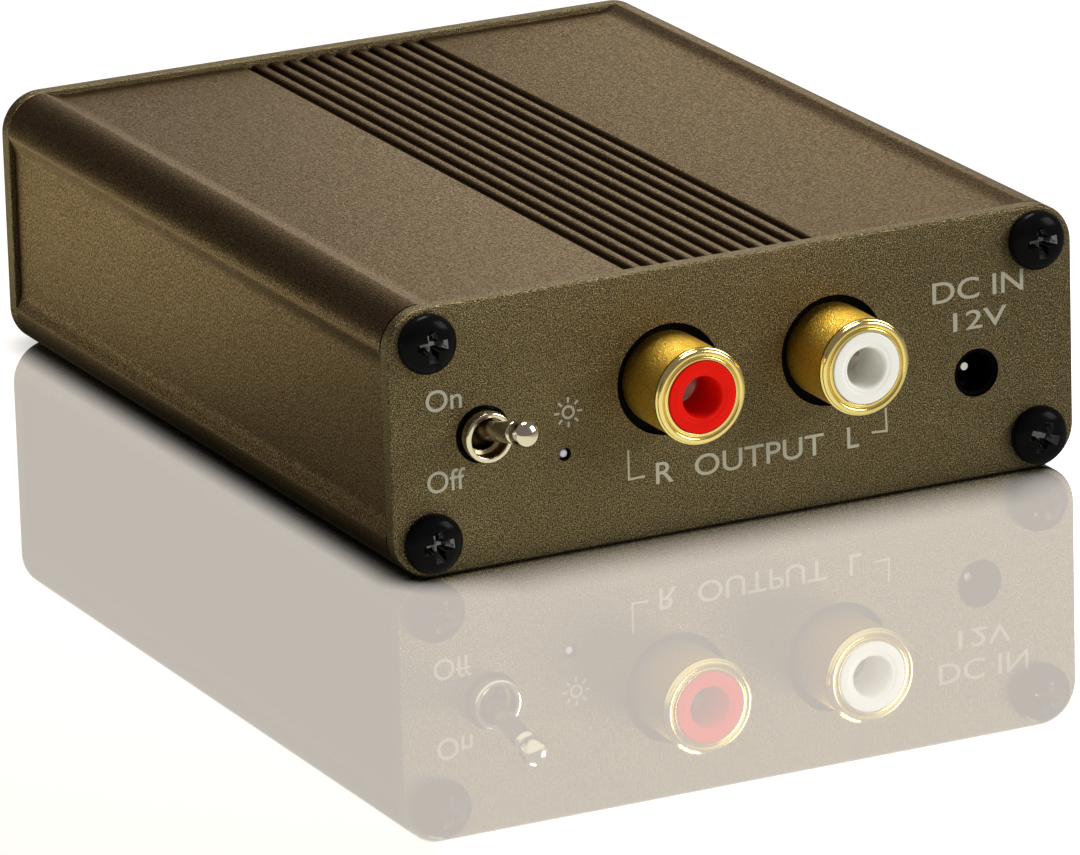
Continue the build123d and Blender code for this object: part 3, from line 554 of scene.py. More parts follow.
def board_surface():
    """Solder resist over faint tracks."""
    made = Recipe("board_green")
    lines = made.node("ShaderNodeTexBrick", {"Vector": made.place, "Scale": 180.0, "Mortar Size": 0.08})
    tint = made.blend(lines.outputs["Fac"], colour(0.02, 0.13, 0.05), colour(0.03, 0.22, 0.09))
    rough = made.between(made.noise(scale=2.0), *MIDDLE, 0.3, 0.45)
    height = made.bump(lines.outputs["Fac"], depth=0.03, strength=0.5)
    return made.finish(Base_Color=tint, Roughness=rough, Normal=height)


def ink():
    """Light grey print, slightly uneven."""
    made = Recipe("ink")
    fine = made.noise(scale=7.0, detail=3.0, roughness=0.7)
    tint = made.blend(fine, colour(0.34, 0.32, 0.23), colour(0.46, 0.44, 0.34))
    return made.finish(Base_Color=tint, Roughness=made.between(fine, *MIDDLE, 0.55, 0.75))


finishes = {
    "bronze_anodised": blasted(
        "bronze_anodised",
        dark=(0.05, 0.034, 0.018),
        light=(0.058, 0.04, 0.021),
        sparkle=(0.18, 0.128, 0.071),
        grain_size=0.17,
        depth=0.045,
        rough=0.33,
        edge=(0.84, 0.74, 0.61),
    ),
    "bronze_plate": blasted(
        "bronze_plate",
        dark=(0.048, 0.036, 0.0172),
        light=(0.076, 0.057, 0.0265),
        sparkle=(0.38, 0.3, 0.15),
        grain_size=0.115,
        depth=0.105,
        rough=0.33,
        edge=(0.8, 0.75, 0.65),
    ),
    "gold_shell": blasted(
        "gold_shell",
        dark=(0.84, 0.44, 0.016),
        light=(0.98, 0.55, 0.026),
        sparkle=(1.0, 0.92, 0.32),
        grain_size=0.14,
        depth=0.1,
        rough=0.42,
    ),
    "contact_nickel": metal("contact_nickel", (0.84, 0.8, 0.76), (0.92, 0.89, 0.85), 0.15, 0.25),
    "nickel_plate": metal(
        "nickel_plate", (0.66, 0.59, 0.42), (0.76, 0.69, 0.5), 0.08, 0.14, grain=3.0, depth=0.002
    ),
    "spring_steel": metal("spring_steel", (0.5, 0.5, 0.5), (0.6, 0.6, 0.6), 0.25, 0.35),
    "contact_silver": metal("contact_silver", (0.75, 0.74, 0.7), (0.84, 0.83, 0.8), 0.2, 0.3),
    "tinned_brass": metal("tinned_brass", (0.6, 0.6, 0.57), (0.72, 0.72, 0.68), 0.25, 0.4),
    "black_screw": plastic(
        "black_screw", (0.003, 0.003, 0.0035), (0.006, 0.006, 0.006), 0.16, 0.24, 4.0, 0.003, shine=0.03
    ),
    "red_insulator": plastic(
        "red_insulator", (0.76, 0.005, 0.001), (0.84, 0.008, 0.002), 0.35, 0.5, shine=0.08
    ),
    "white_insulator": plastic(
        "white_insulator", (0.93, 0.92, 0.85), (0.97, 0.96, 0.9), 0.35, 0.5, shine=0.4
    ),
    "black_moulding": plastic(
        "black_moulding", (0.0006, 0.0006, 0.0006), (0.0015, 0.0015, 0.0015), 0.4, 0.55, shine=0.03
    ),
    "switch_moulding": plastic("switch_moulding", (0.05, 0.05, 0.11), (0.06, 0.06, 0.13), 0.5, 0.6),
    "chip_moulding": plastic("chip_moulding", (0.02, 0.02, 0.02), (0.04, 0.04, 0.04), 0.5, 0.65),
    "capacitor_sleeve": plastic("capacitor_sleeve", (0.02, 0.03, 0.08), (0.03, 0.04, 0.11), 0.25, 0.35),
    "film_capacitor": plastic("film_capacitor", (0.45, 0.06, 0.03), (0.55, 0.09, 0.05), 0.25, 0.35),
    "ceramic_capacitor": plastic("ceramic_capacitor", (0.45, 0.34, 0.2), (0.55, 0.43, 0.27), 0.45, 0.6),
    "clear_guide": clear("clear_guide"),
    "clear_lamp": clear("clear_lamp"),
    "board_green": board_surface(),
}
polished_gold = metal(
    "polished_gold", (0.83, 0.65, 0.22), (0.9, 0.73, 0.28), 0.13, 0.2, grain=5.0, depth=0.001
)
# A rougher nickel with a darker brown tint that is painted shade: inside the bushing's mouth and on the
# lever's stem.
dull_shaded_nickel = metal("dull_shaded_nickel", (0.3, 0.24, 0.14), (0.38, 0.31, 0.19), 0.22, 0.34)
screw_recess = metal("screw_recess", (0.11, 0.11, 0.112), (0.15, 0.15, 0.152), 0.06, 0.12)
print_ink = ink()


def dress_nodes():
    """Gives every CAD node the finish that the record names for it."""
    for subpart in frame["record"]["subparts"]:
        thing = frame["nodes"][subpart["node"]]
        finish = finishes[subpart["material_slot"]]
        for slot in thing.material_slots:
            slot.material = finish


# ---- Casing ----
def corner_arc(middle_u, middle_v, start):
    """A quarter circle of the case's corner radius that begins after start quarter turns."""
    angles = [(start + step / CORNER_STEPS) * pi / 2 for step in range(CORNER_STEPS + 1)]
    return [(middle_u + CORNER_RADIUS * cos(a), middle_v + CORNER_RADIUS * sin(a)) for a in angles]


def tube_outline():
    """The tube's outside about the case's middle, anticlockwise from the lower right corner."""
    across = WIDTH / 2 - CORNER_RADIUS
    upright = MID_HEIGHT - CORNER_RADIUS
    side = WIDTH / 2 - FIELD_RECESS
    top = MID_HEIGHT - FIELD_RECESS
    side_run = upright - CREST_SLOPE
    top_run = across - CREST_SLOPE

    def crest(points, index):
        points[index] = (*points[index], CREST_REACH)
        return points

    outline = crest(corner_arc(across, -upright, 3), -1)
    outline += [(side, -side_run, FIELD_REACH), (side, side_run, FIELD_REACH)]
    outline += crest(crest(corner_arc(across, upright, 0), 0), -1)
    outline += [(top_run, top, FIELD_REACH)]
    floor = top - GROOVE_DEPTH
    for index in reversed(range(GROOVE_COUNT)):
        middle = (index - (GROOVE_COUNT - 1) / 2) * GROOVE_PITCH
        right, left = middle + GROOVE_WIDTH / 2, middle - GROOVE_WIDTH / 2
        outline += [(right, top, RIB_REACH), (right, floor, RIB_REACH)]
        outline += [(left, floor, RIB_REACH), (left, top, RIB_REACH)]
    outline += [(-top_run, top, FIELD_REACH)]
    outline += crest(crest(corner_arc(-across, upright, 1), 0), -1)
    outline += [(-side, side_run, FIELD_REACH), (-side, -side_run, FIELD_REACH)]
    outline += crest(corner_arc(-across, -upright, 2), 0)
    return eased(outline, closed=True)


def make_tube():
    """The extruded tube between the plates, open inside."""
    low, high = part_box("housing")
    length = (high.y - low.y) / mm
    start = -PLATE_THICKNESS - SEAM
    finish = -PLATE_THICKNESS - length + SEAM
    inner_u = WIDTH / 2 - FIELD_RECESS - WALL
    inner_v = MID_HEIGHT - FIELD_RECESS - WALL
    outside = tube_outline()
    inside = [(inner_u, -inner_v), (inner_u, inner_v), (-inner_u, inner_v), (-inner_u, -inner_v)]
    bm = bmesh.new()
    for loop in (outside, inside):
        rings = []
        for end in (start, finish):
            rings.append([bm.verts.new((u, v + MID_HEIGHT, end)) for u, v in loop])
        stitch(bm, rings)
    for end in (start, finish):
        close_face(bm, end)
    piece("tube", bm, FRONT, [finishes["bronze_anodised"]], "chassis", ["housing"])


def close_face(bm, height):
    """Fills the flat region between all the loops that lie at one height."""
    edges = [e for e in bm.edges if all(abs(v.co.z - height) < FLAT_ENOUGH for v in e.verts)]
    bmesh.ops.triangle_fill(bm, edges=edges, use_beauty=True)


def rounded_rectangle(inset):
    """The end plate's outline, moved inwards by inset."""
    radius = CORNER_RADIUS - inset
    across = WIDTH / 2 - CORNER_RADIUS
    upright = MID_HEIGHT - CORNER_RADIUS
    corners = [(across, upright), (-across, upright), (-across, -upright), (across, -upright)]
    points = []
    for quarter, (u, v) in enumerate(corners):
        for step in range(CORNER_STEPS + 1):
            angle = (quarter + step / CORNER_STEPS) * pi / 2
            points.append((u + radius * cos(angle), v + MID_HEIGHT + radius * sin(angle)))
    return points


def hole_outline(u, v, radius):
    """Gives a function for a hole's outline, moved towards its middle by inset."""

    def outline(inset):
        angles = [2 * pi * step / HOLE_SEGMENTS for step in range(HOLE_SEGMENTS)]
        return [(u + (radius - inset) * cos(a), v + (radius - inset) * sin(a)) for a in angles]

    return outline


def plate_edge(radius):
    """(inset, depth) steps of an edge rounding, from the face to the side."""
    angles = [step / EDGE_STEPS * pi / 2 for step in range(EDGE_STEPS + 1)]
    return [(radius * (1 - sin(a)), -radius * (1 - cos(a))) for a in angles]


def make_plate(name, place, holes, node):
    """An end plate with rounded edges. Its (u, v, radius) holes are a hair narrower at the faces."""
    bm = bmesh.new()
    loops = [(rounded_rectangle, PLATE_EDGE_RADIUS)]
    loops += [(hole_outline(*hole), HOLE_EDGE_RADIUS) for hole in holes]
    for outline, edge in loops:
        rings = []
        for inset, depth in plate_edge(edge):
            rings.append([bm.verts.new((u, v, depth)) for u, v in outline(inset)])
        for inset, depth in reversed(plate_edge(edge * PLATE_BACK_EDGE)):
            rings.append([bm.verts.new((u, v, -PLATE_THICKNESS - depth)) for u, v in outline(inset)])
        stitch(bm, rings)
    close_face(bm, 0.0)
    close_face(bm, -PLATE_THICKNESS)
    piece(name, bm, place, [finishes["bronze_plate"]], "chassis", [node])


def screw_spots():
    """The screws' (u, v) places, from the lower left one up and then to the right."""
    u = WIDTH / 2 - SCREW_EDGE_X
    v = MID_HEIGHT - SCREW_EDGE_Z
    return [(side * u, MID_HEIGHT + level * v) for side in (-1, 1) for level in (-1, 1)]


def cross_cutter():
    """The tapered cross that a screwdriver fits, carried on above the head for a clean cut."""
    bm = bmesh.new()
    rings = []
    for arm_share, width_share, height in (
        (RECESS_FLOOR_ARM, RECESS_FLOOR_WIDTH, RECESS_FLOOR),
        (1.0, 1.0, SCREW_HEAD_HEIGHT),
        (RECESS_FLARE, RECESS_FLARE, SCREW_HEAD_HEIGHT * 2),
    ):
        arm = RECESS_ARM * arm_share
        half = RECESS_HALF_WIDTH * width_share
        ring = []
        for turn in range(4):
            spin = Matrix.Rotation(turn * pi / 2, 2)
            for corner in ((half, half), (half, arm), (-half, arm)):
                point = spin @ Vector(corner)
                ring.append(bm.verts.new((point.x, point.y, height)))
        rings.append(ring)
    stitch(bm, rings)
    for end in (rings[0], rings[-1]):
        bm.faces.new(end)
    for face in bm.faces:
        face.material_index = 1
    return mesh_from("cross_cutter", bm)


def screw_mesh():
    """One pan head screw with a cross recess, drawn at the origin with its head above w = 0."""
    profile = [
        (0, -SCREW_LENGTH),
        (SCREW_CORE_RADIUS, -SCREW_LENGTH, SCREW_POINT_REACH),
        (SCREW_CORE_RADIUS, 0),
        (SCREW_HEAD_RADIUS, 0, SOFT),
    ]
    for step in range(SCREW_CROWN_STEPS):
        angle = step / SCREW_CROWN_STEPS * pi / 2
        radius = SCREW_HEAD_RADIUS * cos(angle) ** SCREW_CROWN_POWER
        profile.append((radius, SCREW_HEAD_RIM + (SCREW_HEAD_HEIGHT - SCREW_HEAD_RIM) * sin(angle)))
    profile.append((0, SCREW_HEAD_HEIGHT))
    bm = bmesh.new()
    lathe(bm, profile, segments=SCREW_SEGMENTS)
    blank = bpy.data.objects.new("screw_blank", mesh_from("screw", bm))
    cutter = bpy.data.objects.new("screw_cutter", cross_cutter())
    for thing in (blank, cutter):
        thing.data.materials.append(finishes["black_screw"])
        thing.data.materials.append(screw_recess)
        bpy.context.scene.collection.objects.link(thing)
    cut = blank.modifiers.new("recess", "BOOLEAN")
    cut.object = cutter
    cut.solver = "EXACT"
    soften = blank.modifiers.new("soften", "BEVEL")
    soften.width = RECESS_SOFTENING
    soften.segments = 2
    soften.limit_method = "ANGLE"
    soften.angle_limit = RECESS_SOFTENED_FROM
    bpy.context.view_layer.update()
    evaluated = blank.evaluated_get(bpy.context.evaluated_depsgraph_get())
    finished = bpy.data.meshes.new_from_object(evaluated)
    for thing in (blank, cutter):
        bpy.data.objects.remove(thing)
    return finished


def make_screws(name, place, node, turns):
    """Four copies of the screw, each stopped at its own angle."""
    blank = screw_mesh()
    bm = bmesh.new()
    for (u, v), turn in zip(screw_spots(), turns):
        copy = blank.copy()
        copy.transform(Matrix.Translation((u, v, 0)) @ Matrix.Rotation(radians(turn), 4, "Z"))
        bm.from_mesh(copy)
    piece(name, bm, place, [finishes["black_screw"], screw_recess], "chassis", [node])


def screw_holes():
    return [(u, v, SCREW_HOLE_RADIUS) for u, v in screw_spots()]


def make_front_plate():
    switch = centre("switch_bushing")
    guide = centre("light_guide")
    holes = socket_holes("output", FRONT) + screw_holes()
    holes.append((switch.x, switch.z, SWITCH_HOLE_RADIUS))
    holes.append((guide.x, guide.z, LED_HOLE_RADIUS))
    holes.append((centre("dc_jack_pin").x, JACK_HOLE_HEIGHT, JACK_HOLE_RADIUS))
    make_plate("front_panel", FRONT, holes, "front_plate")


def make_rear_plate():
    stud = centre("ground_thumb_nut")
    holes = socket_holes("input", REAR) + screw_holes()
    holes.append((-stud.x, stud.z, STUD_HOLE_RADIUS))
    make_plate("rear_panel", REAR, holes, "rear_plate")


# ---- Phono sockets ----
def socket_spot(name, place):
    """The (u, v) of a socket's axis on its plate."""
    shell = f"{name}_shell"
    across = centre(shell).x
    u = across if place == FRONT else -across
    return u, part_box(shell)[1].z / mm - SHELL_RADIUS


def socket_holes(kind, place):
    """The (u, v, radius) openings of an end plate's two sockets."""
    return [(*socket_spot(f"{kind}_{channel}", place), SOCKET_HOLE_RADIUS) for channel in CHANNELS]


def make_shell(name, spot):
    """The satin barrel with its rolled, polished lip."""
    bm = bmesh.new()
    body_end = (SHELL_BODY_RADIUS, SHELL_REACH - SHELL_BODY_END)
    lathe(
        bm,
        [
            (SHELL_BORE, -SHELL_INSIDE),
            (SHELL_SEAT_RADIUS, -SHELL_INSIDE, SOFT),
            (SHELL_BODY_RADIUS, -SHELL_BODY_FOOT, SHELL_FOOT_REACH),
            body_end,
        ],
    )
    lip = [body_end]
    lip += [(SHELL_RADIUS - inwards, SHELL_REACH - depth, reach) for inwards, depth, reach in LIP_OUTER]
    lip += [(SHELL_BORE + outwards, SHELL_REACH - depth, reach) for outwards, depth, reach in LIP_INNER]
    lip += [(SHELL_BORE, -SHELL_INSIDE)]
    lathe(bm, lip, material=1)
    gold = [finishes["gold_shell"], polished_gold]
    piece(f"{name}_barrel", bm, spot, gold, "chassis", [f"{name}_shell"])


def make_insulator(name, spot):
    """The coloured plastic that fills the shell, up to its lip."""
    face = SHELL_REACH + INSULATOR_PROUD
    outer = SHELL_BORE - INSULATOR_GAP
    profile = [
        (PIN_HOLE_RADIUS, -SHELL_INSIDE),
        (outer, -SHELL_INSIDE),
        (outer, SHELL_REACH - INSULATOR_NECK_START),
        (outer - INSULATOR_NECK, SHELL_REACH - INSULATOR_NECK_END),
        (outer - INSULATOR_NECK, face, INSULATOR_EDGE_REACH),
    ]
    profile += [(PIN_HOLE_RADIUS + outwards, face - depth, reach) for outwards, depth, reach in PIN_HOLE_RIM]
    profile += [(PIN_HOLE_RADIUS, -SHELL_INSIDE)]
    bm = bmesh.new()
    lathe(bm, profile)
    slot = "red_insulator" if "right" in name else "white_insulator"
    piece(f"{name}_core", bm, spot, [finishes[slot]], "chassis", [f"{name}_insulator"])


def make_socket(name, place):
    spot = on_panel(place, *socket_spot(name, place))
    make_shell(name, spot)
    make_insulator(name, spot)


# ---- Indicator ----
def make_guide():
    """The clear rod with a rounded end behind the small hole."""
    middle = centre("light_guide")
    flange_back = -PLATE_THICKNESS - GUIDE_FLANGE
    bm = bmesh.new()
    lathe(
        bm,
        [
            (0, flange_back),
            (GUIDE_FLANGE_RADIUS, flange_back),
            (GUIDE_FLANGE_RADIUS, -PLATE_THICKNESS),
            (GUIDE_RADIUS, -PLATE_THICKNESS),
            (GUIDE_RADIUS, -GUIDE_SETBACK - GUIDE_TAPER_START, SOFT),
            (GUIDE_NOSE_RADIUS, -GUIDE_SETBACK - GUIDE_TAPER_END, SOFT),
            (GUIDE_NOSE_RADIUS * GUIDE_NOSE_FLAT, -GUIDE_SETBACK, SOFT),
            (0, -GUIDE_SETBACK),
        ],
        segments=GUIDE_SEGMENTS,
    )
    spot = on_panel(FRONT, middle.x, middle.z)
    piece("guide", bm, spot, [finishes["clear_guide"]], "chassis", ["light_guide"])


# ---- Power switch ----
def make_bushing():
    """The plated bushing, bright outside, and dull inside with a darker tint that is painted shade."""
    middle = centre("switch_bushing")
    bright_end = (BUSHING_MOUTH, BUSHING_REACH - BUSHING_BRIGHT)
    bm = bmesh.new()
    lathe(
        bm,
        [
            (BUSHING_BORE, -BUSHING_BACK),
            (BUSHING_RADIUS, -BUSHING_BACK, SOFT),
            (BUSHING_RADIUS, BUSHING_REACH, BUSHING_EDGE_REACH),
            (BUSHING_MOUTH, BUSHING_REACH, BUSHING_MOUTH_REACH),
            bright_end,
        ],
    )
    lathe(
        bm,
        [
            bright_end,
            (BUSHING_MOUTH, BUSHING_TAPER),
            (BUSHING_BORE, -BUSHING_TAPER),
            (BUSHING_BORE, -BUSHING_BACK),
        ],
        material=1,
    )
    spot = on_panel(FRONT, middle.x, middle.z)
    nickel = [finishes["nickel_plate"], dull_shaded_nickel]
    piece("bushing", bm, spot, nickel, "chassis", ["switch_bushing"])


def make_lever():
    """The lever about its pivot: a hollow tail, the pivot's ball and a dull stem painted darker as shade,
    and a bright round tip.
    """
    middle = centre("switch_bushing")
    dull_shaded_end = (LEVER_DULL_SHADED_RADIUS, LEVER_DULL_SHADED_TO)
    bm = bmesh.new()
    lathe(
        bm,
        [
            (0, LEVER_BORE_DEPTH - LEVER_TAIL),
            (LEVER_BORE, LEVER_BORE_DEPTH - LEVER_TAIL),
            (LEVER_BORE, -LEVER_TAIL),
            (LEVER_TAIL_RADIUS, -LEVER_TAIL, SOFT),
            (LEVER_TAIL_RADIUS, -LEVER_BALL_RADIUS, LEVER_TAIL_REACH),
            (LEVER_BALL_RADIUS, -LEVER_BALL_HALF_LENGTH, LEVER_BALL_REACH),
            (LEVER_BALL_RADIUS, LEVER_BALL_HALF_LENGTH, LEVER_BALL_REACH),
            (LEVER_STEM_FOOT, LEVER_BALL_RADIUS, LEVER_WAIST_REACH),
            dull_shaded_end,
        ],
        material=1,
    )
    lathe(
        bm,
        [
            dull_shaded_end,
            (LEVER_STEM_RADIUS, LEVER_STEM_END, LEVER_STEM_REACH),
            (LEVER_NECK_RADIUS, LEVER_NECK_START, SOFT),
            (LEVER_NECK_RADIUS, LEVER_NECK_END, SOFT),
            (LEVER_TIP_RADIUS, LEVER_TIP_START, LEVER_TIP_REACH),
            (LEVER_TIP_RADIUS, LEVER_END - LEVER_ROUND_START, LEVER_ROUND_REACH),
            (LEVER_TIP_RADIUS * LEVER_CROWN, LEVER_END - LEVER_CROWN_START, LEVER_CROWN_REACH),
            (0, LEVER_END),
        ],
    )
    spot = on_panel(FRONT, middle.x, middle.z, LEVER_SWING, PIVOT_DEPTH)
    nickel = [finishes["nickel_plate"], dull_shaded_nickel]
    piece("lever", bm, spot, nickel, "switch_lever", ["switch_lever"])


# ---- Ground terminal ----
def knurl(angle):
    """What the teeth add to the thumb nut's radius at an angle: 0 at a crest, and less between two."""
    along_tooth = (angle / (2 * pi) * KNURL_COUNT) % 1.0
    return -KNURL_DEPTH * abs(2 * along_tooth - 1)


def make_thumb_nut():
    """The knurled nut that runs on the ground terminal's stud."""
    middle = centre("ground_thumb_nut")
    low = LOCK_NUT_THICKNESS + WASHER_THICKNESS
    high = low + THUMB_NUT_THICKNESS
    thread = STUD_RADIUS + THREAD_GAP
    outline = eased(
        [
            (thread, low),
            (COLLAR_RADIUS, low, COLLAR_REACH),
            (COLLAR_RADIUS, high - KNURL_LENGTH, COLLAR_ROOT_REACH),
            (THUMB_NUT_RADIUS, high - KNURL_LENGTH, THUMB_NUT_BACK_REACH),
            (THUMB_NUT_RADIUS, high, THUMB_NUT_FRONT_REACH),
            (STUD_RADIUS + THUMB_NUT_MOUTH, high, SOFT),
            (thread, high - THUMB_NUT_SINK),
        ]
    )
    bm = bmesh.new()
    rings = []
    for point in outline:
        teeth = knurl if point.x > THUMB_NUT_RADIUS - KNURL_BAND else None
        rings.append(ring_of(bm, point.x, point.y, KNURL_COUNT * KNURL_STEPS, teeth))
    stitch(bm, rings + rings[:1])
    spot = on_panel(REAR, -middle.x, middle.z)
    nickel = [finishes["nickel_plate"]]
    piece("thumb_nut", bm, spot, nickel, "ground_thumb_nut", ["ground_thumb_nut"])


# ---- Printing on the front plate ----
def printed(name, bm):
    """Ink that stands a hair above the plate."""
    for vertex in bm.verts:
        vertex.co.z = INK_HEIGHT
    raised = bmesh.ops.extrude_face_region(bm, geom=bm.faces[:])
    for item in raised["geom"]:
        if isinstance(item, bmesh.types.BMVert):
            item.co.z = -INK_HEIGHT
    piece(name, bm, FRONT, [print_ink], "chassis")


def lettering(name, text, left, right, base, cap):
    """A word fitted between two u values, with its baseline at v = base."""
    curve = bpy.data.curves.new(name, "FONT")
    curve.body = text
    curve.resolution_u = LETTER_CURVE_STEPS
    curve.offset = LETTER_BOLDER
    writer = bpy.data.objects.new(name + "_writer", curve)
    bpy.context.scene.collection.objects.link(writer)
    bpy.context.view_layer.update()
    mesh = bpy.data.meshes.new_from_object(writer)
    bpy.data.objects.remove(writer)
    bm = bmesh.new()
    bm.from_mesh(mesh)
    bmesh.ops.remove_doubles(bm, verts=bm.verts, dist=LETTER_WELD)
    low_u = min(v.co.x for v in bm.verts)
    high_u = max(v.co.x for v in bm.verts)
    high_v = max(v.co.y for v in bm.verts)
    for vertex in bm.verts:
        vertex.co.x = left + (vertex.co.x - low_u) / (high_u - low_u) * (right - left)
        vertex.co.y = base + vertex.co.y / high_v * cap
    printed(name, bm)


def ribbon(bm, points):
    """A flat stroke of the print's line width along (u, v) points, with mitred corners."""
    path = [Vector(point) for point in points]
    runs = [(b - a).normalized() for a, b in zip(path, path[1:])]
    edges = ([], [])
    for index, point in enumerate(path):
        before = runs[max(index - 1, 0)]
        after = runs[min(index, len(runs) - 1)]
        side = Vector((-before.y - after.y, before.x + after.x)).normalized()
        half = STROKE / 2 / side.dot(Vector((-after.y, after.x)))
        for edge, reach in zip(edges, (half, -half)):
            spot = point + side * reach
            edge.append(bm.verts.new((spot.x, spot.y, 0)))
    stitch(bm, edges, closed=False)


def line_work(name, strokes):
    """Thin printed lines, each through its own (u, v) points."""
    bm = bmesh.new()
    for points in strokes:
        ribbon(bm, points)
    printed(name, bm)


def make_lamp_icon(u, v):
    """A small ring with rays, beside the indicator."""
    bm = bmesh.new()
    stitch(bm, [ring_of(bm, radius, 0, LAMP_SEGMENTS) for radius in LAMP_RING])
    bmesh.ops.translate(bm, verts=bm.verts, vec=(u, v, 0))
    printed("lamp_ring", bm)
    rays = []
    for index in range(LAMP_RAYS):
        angle = index * 2 * pi / LAMP_RAYS
        rays.append([(u + r * cos(angle), v + r * sin(angle)) for r in LAMP_RAY])
    line_work("lamp_rays", rays)


def make_printing():
    for word in WORDS:
        lettering(*word)
    line_work("print_brackets", BRACKETS)
    make_lamp_icon(*LAMP_ICON)


# ---- Stage, light and camera ----
def table_as_seen(made, depth, aside):
    """The camera's view of the table: pale, partly a mirror, and softly shaded around the case."""
    front = FRONT.translation.y
    half_case = WIDTH / 2 * mm
    before = made.between(depth, front, front + PLATE_THICKNESS * mm, 1.0, 0.0)
    within = made.between(aside, half_case - STAGE_SHADE_AHEAD * mm, half_case, 1.0, 0.0)
    facing = made.maths("MULTIPLY", before, within)
    reach = made.between(facing, 0.0, 1.0, STAGE_SHADE_BESIDE * mm, STAGE_SHADE_AHEAD * mm)
    black = made.between(facing, 0.0, 1.0, STAGE_BLACK_BESIDE, STAGE_BLACK_AHEAD)
    sky = made.node("ShaderNodeAmbientOcclusion", {"Distance": reach}, samples=STAGE_SHADE_SAMPLES)
    shade = made.between(sky.outputs["AO"], black, STAGE_CLEAR, 0.0, 1.0)
    pale = made.node("ShaderNodeEmission", {"Color": colour(*STAGE_PALE), "Strength": shade})
    mirror = made.node("ShaderNodeBsdfGlossy", {"Color": colour(1.0, 1.0, 1.0), "Roughness": STAGE_GLOSS})
    return made.mix_shaders(STAGE_MIRROR, pale.outputs[0], mirror.outputs[0])


def table_as_mirrored(made, place, depth, aside):
    """What the object's own metal mirrors of the table: tones from front to rear, with a painted shadow
    beside the case.
    """
    front = FRONT.translation.y
    half_case = WIDTH / 2 * mm
    # Painted shade: the glow is darker beside the case.
    beside = made.between(aside, half_case, half_case + STAGE_SIDE_REACH * mm, STAGE_SIDE_SHADE, 1.0)
    ahead = made.between(depth, front - PLATE_THICKNESS * mm, front, 1.0, 0.0)
    dim = made.between(place["X"], STAGE_DIM_START * mm, STAGE_DIM_END * mm, 1.0, STAGE_DIM)
    strength = made.maths("MULTIPLY", made.maths("MAXIMUM", beside, ahead), dim)
    along = made.between(depth, STAGE_NEAR * mm, STAGE_FAR * mm, 0.0, 1.0)
    ramp = made.node("ShaderNodeValToRGB", {"Fac": along})
    set_stops(ramp.color_ramp, STAGE_TONES)
    glow = {"Color": ramp.outputs["Color"], "Strength": strength}
    return made.node("ShaderNodeEmission", glow).outputs[0]


def table_surface():
    made = Recipe("table_top")
    made.tree.nodes.remove(made.surface)
    place = made.node("ShaderNodeSeparateXYZ", {0: made.place}).outputs
    depth = place["Y"]
    aside = made.maths("ABSOLUTE", place["X"])
    seen = table_as_seen(made, depth, aside)
    mirrored = table_as_mirrored(made, place, depth, aside)
    by_camera = made.node("ShaderNodeLightPath").outputs["Is Camera Ray"]
    output = made.tree.nodes["Material Output"]
    made.feed(output.inputs["Surface"], made.mix_shaders(by_camera, mirrored, seen))
    return made.material


def make_stage():
    """A large pale table that mirrors the object."""
    half = STAGE_SIZE / 2 * mm
    corners = [(-half, -half, 0), (half, -half, 0), (half, half, 0), (-half, half, 0)]
    mesh = bpy.data.meshes.new("table_top")
    mesh.from_pydata(corners, [], [(0, 1, 2, 3)])
    mesh.materials.append(table_surface())
    table = bpy.data.objects.new("table_top", mesh)
    bpy.context.scene.collection.objects.link(table)


def set_stops(ramp, stops):
    """Sets a colour ramp from (place, brightness) stops."""
    green, blue = STAGE_WARMTH
    while len(ramp.elements) < len(stops):
        ramp.elements.new(1.0)
    for element, (position, level) in zip(ramp.elements, stops):
        element.position = position
        element.color = colour(level, level * green, level * blue)


def towards(azimuth, elevation):
    """The direction from the case to what stands at an azimuth and elevation, in degrees."""
    turn, rise = radians(azimuth), radians(elevation)
    return Vector((sin(turn) * cos(rise), -cos(turn) * cos(rise), sin(rise)))


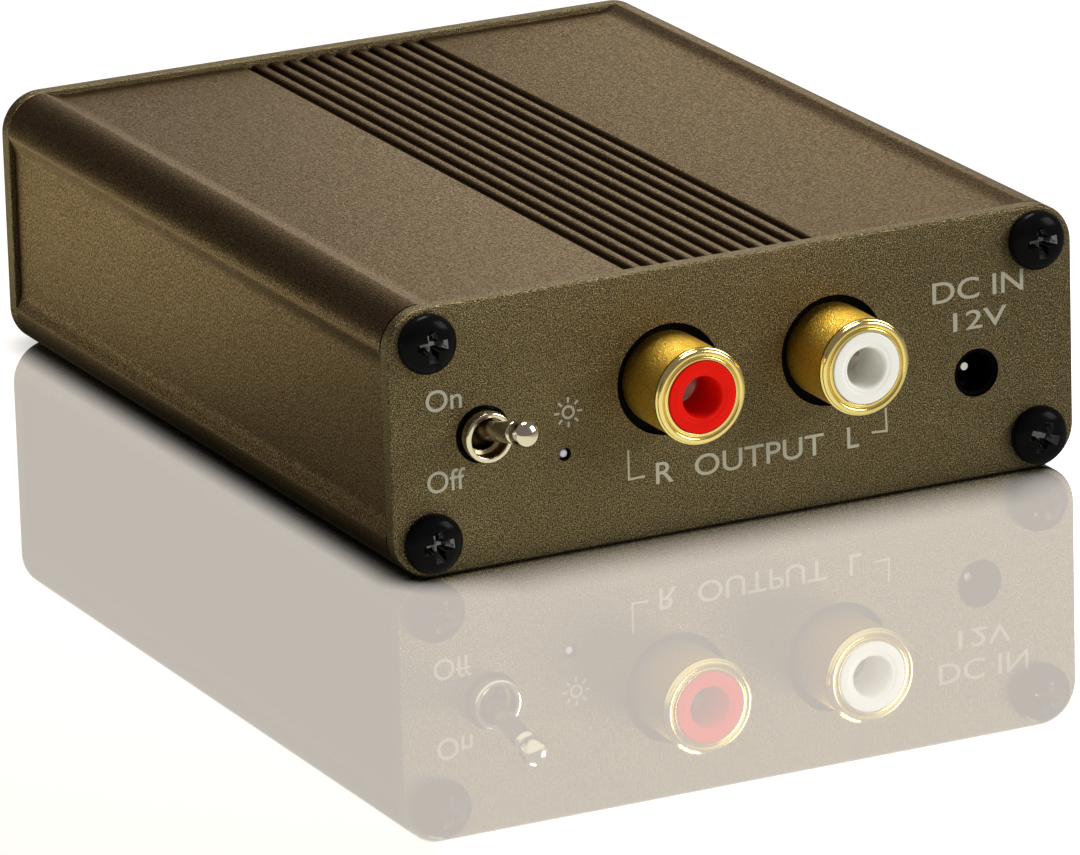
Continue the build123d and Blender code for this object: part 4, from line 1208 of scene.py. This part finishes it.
def make_world():
    """A dim studio wall, bright only where the camera's view glances off the case's top."""
    world = bpy.data.worlds.new("studio")
    world.use_nodes = True
    tree = world.node_tree
    tree.nodes.clear()
    place = tree.nodes.new("ShaderNodeTexCoord")
    facing = tree.nodes.new("ShaderNodeVectorMath")
    facing.operation = "DOT_PRODUCT"
    facing.inputs[1].default_value = towards(CAMERA_AZIMUTH + 180.0, WALL_RISE)
    tree.links.new(place.outputs["Generated"], facing.inputs[0])
    level = tree.nodes.new("ShaderNodeMapRange")
    level.interpolation_type = "SMOOTHSTEP"
    tree.links.new(facing.outputs["Value"], level.inputs["Value"])
    level.inputs["From Min"].default_value = WALL_FADE_START
    level.inputs["From Max"].default_value = WALL_FADE_END
    shades = tree.nodes.new("ShaderNodeMix")
    shades.data_type = "RGBA"
    tree.links.new(level.outputs["Result"], shades.inputs[MIX_FACTOR])
    shades.inputs[MIX_FIRST].default_value = colour(*WALL_DIM)
    shades.inputs[MIX_SECOND].default_value = colour(*WALL_BRIGHT)
    mirrored = tree.nodes.new("ShaderNodeBackground")
    tree.links.new(shades.outputs[MIX_RESULT], mirrored.inputs["Color"])
    seen = tree.nodes.new("ShaderNodeBackground")
    ray = tree.nodes.new("ShaderNodeLightPath")
    mixed = tree.nodes.new("ShaderNodeMixShader")
    tree.links.new(ray.outputs["Is Camera Ray"], mixed.inputs[0])
    tree.links.new(mirrored.outputs[0], mixed.inputs[1])
    tree.links.new(seen.outputs[0], mixed.inputs[2])
    output = tree.nodes.new("ShaderNodeOutputWorld")
    tree.links.new(mixed.outputs[0], output.inputs["Surface"])
    bpy.context.scene.world = world


def soft_box(name, place, size, power):
    """A square light at (azimuth, elevation, distance) from the case, facing it."""
    azimuth, elevation, distance = place
    lamp = bpy.data.lights.new(name, "AREA")
    lamp.shape = "SQUARE"
    lamp.size = size * mm
    lamp.energy = power
    thing = bpy.data.objects.new(name, lamp)
    bpy.context.scene.collection.objects.link(thing)
    back = towards(azimuth, elevation)
    turned = back.to_track_quat("Z", "Y").to_matrix().to_4x4()
    thing.matrix_world = Matrix.Translation(back * distance * mm) @ turned


def make_camera():
    lens = bpy.data.cameras.new("camera")
    lens.lens = CAMERA_LENS
    lens.clip_end = CAMERA_SIGHT * mm
    camera = bpy.data.objects.new("camera", lens)
    bpy.context.scene.collection.objects.link(camera)
    back = towards(CAMERA_AZIMUTH, CAMERA_ELEVATION)
    axes = back.to_track_quat("Z", "Y").to_matrix()
    axes = axes @ Matrix.Rotation(radians(-CAMERA_ROLL), 3, "Z")
    aim = axes @ Vector((CAMERA_AIM_RIGHT, CAMERA_AIM_UP, 0)) * mm
    camera.matrix_world = axes.to_4x4()
    camera.location = FRONT.translation + back * CAMERA_DISTANCE * mm + aim
    bpy.context.scene.camera = camera


make_camera()
make_world()
make_stage()
soft_box("key", *KEY_LAMP)
soft_box("fill", *FILL_LAMP)
soft_box("rear", *REAR_LAMP)

dress_nodes()
make_tube()
make_front_plate()
make_rear_plate()
make_screws("front_screw_set", FRONT, "front_screws", FRONT_SCREW_TURNS)
make_screws("rear_screw_set", REAR, "rear_screws", REAR_SCREW_TURNS)
for channel in CHANNELS:
    make_socket(f"output_{channel}", FRONT)
    make_socket(f"input_{channel}", REAR)
make_guide()
make_bushing()
make_lever()
make_thumb_nut()
make_printing()

bpy.context.scene.view_settings.view_transform = "Standard"
bpy.context.scene.view_settings.look = "None"
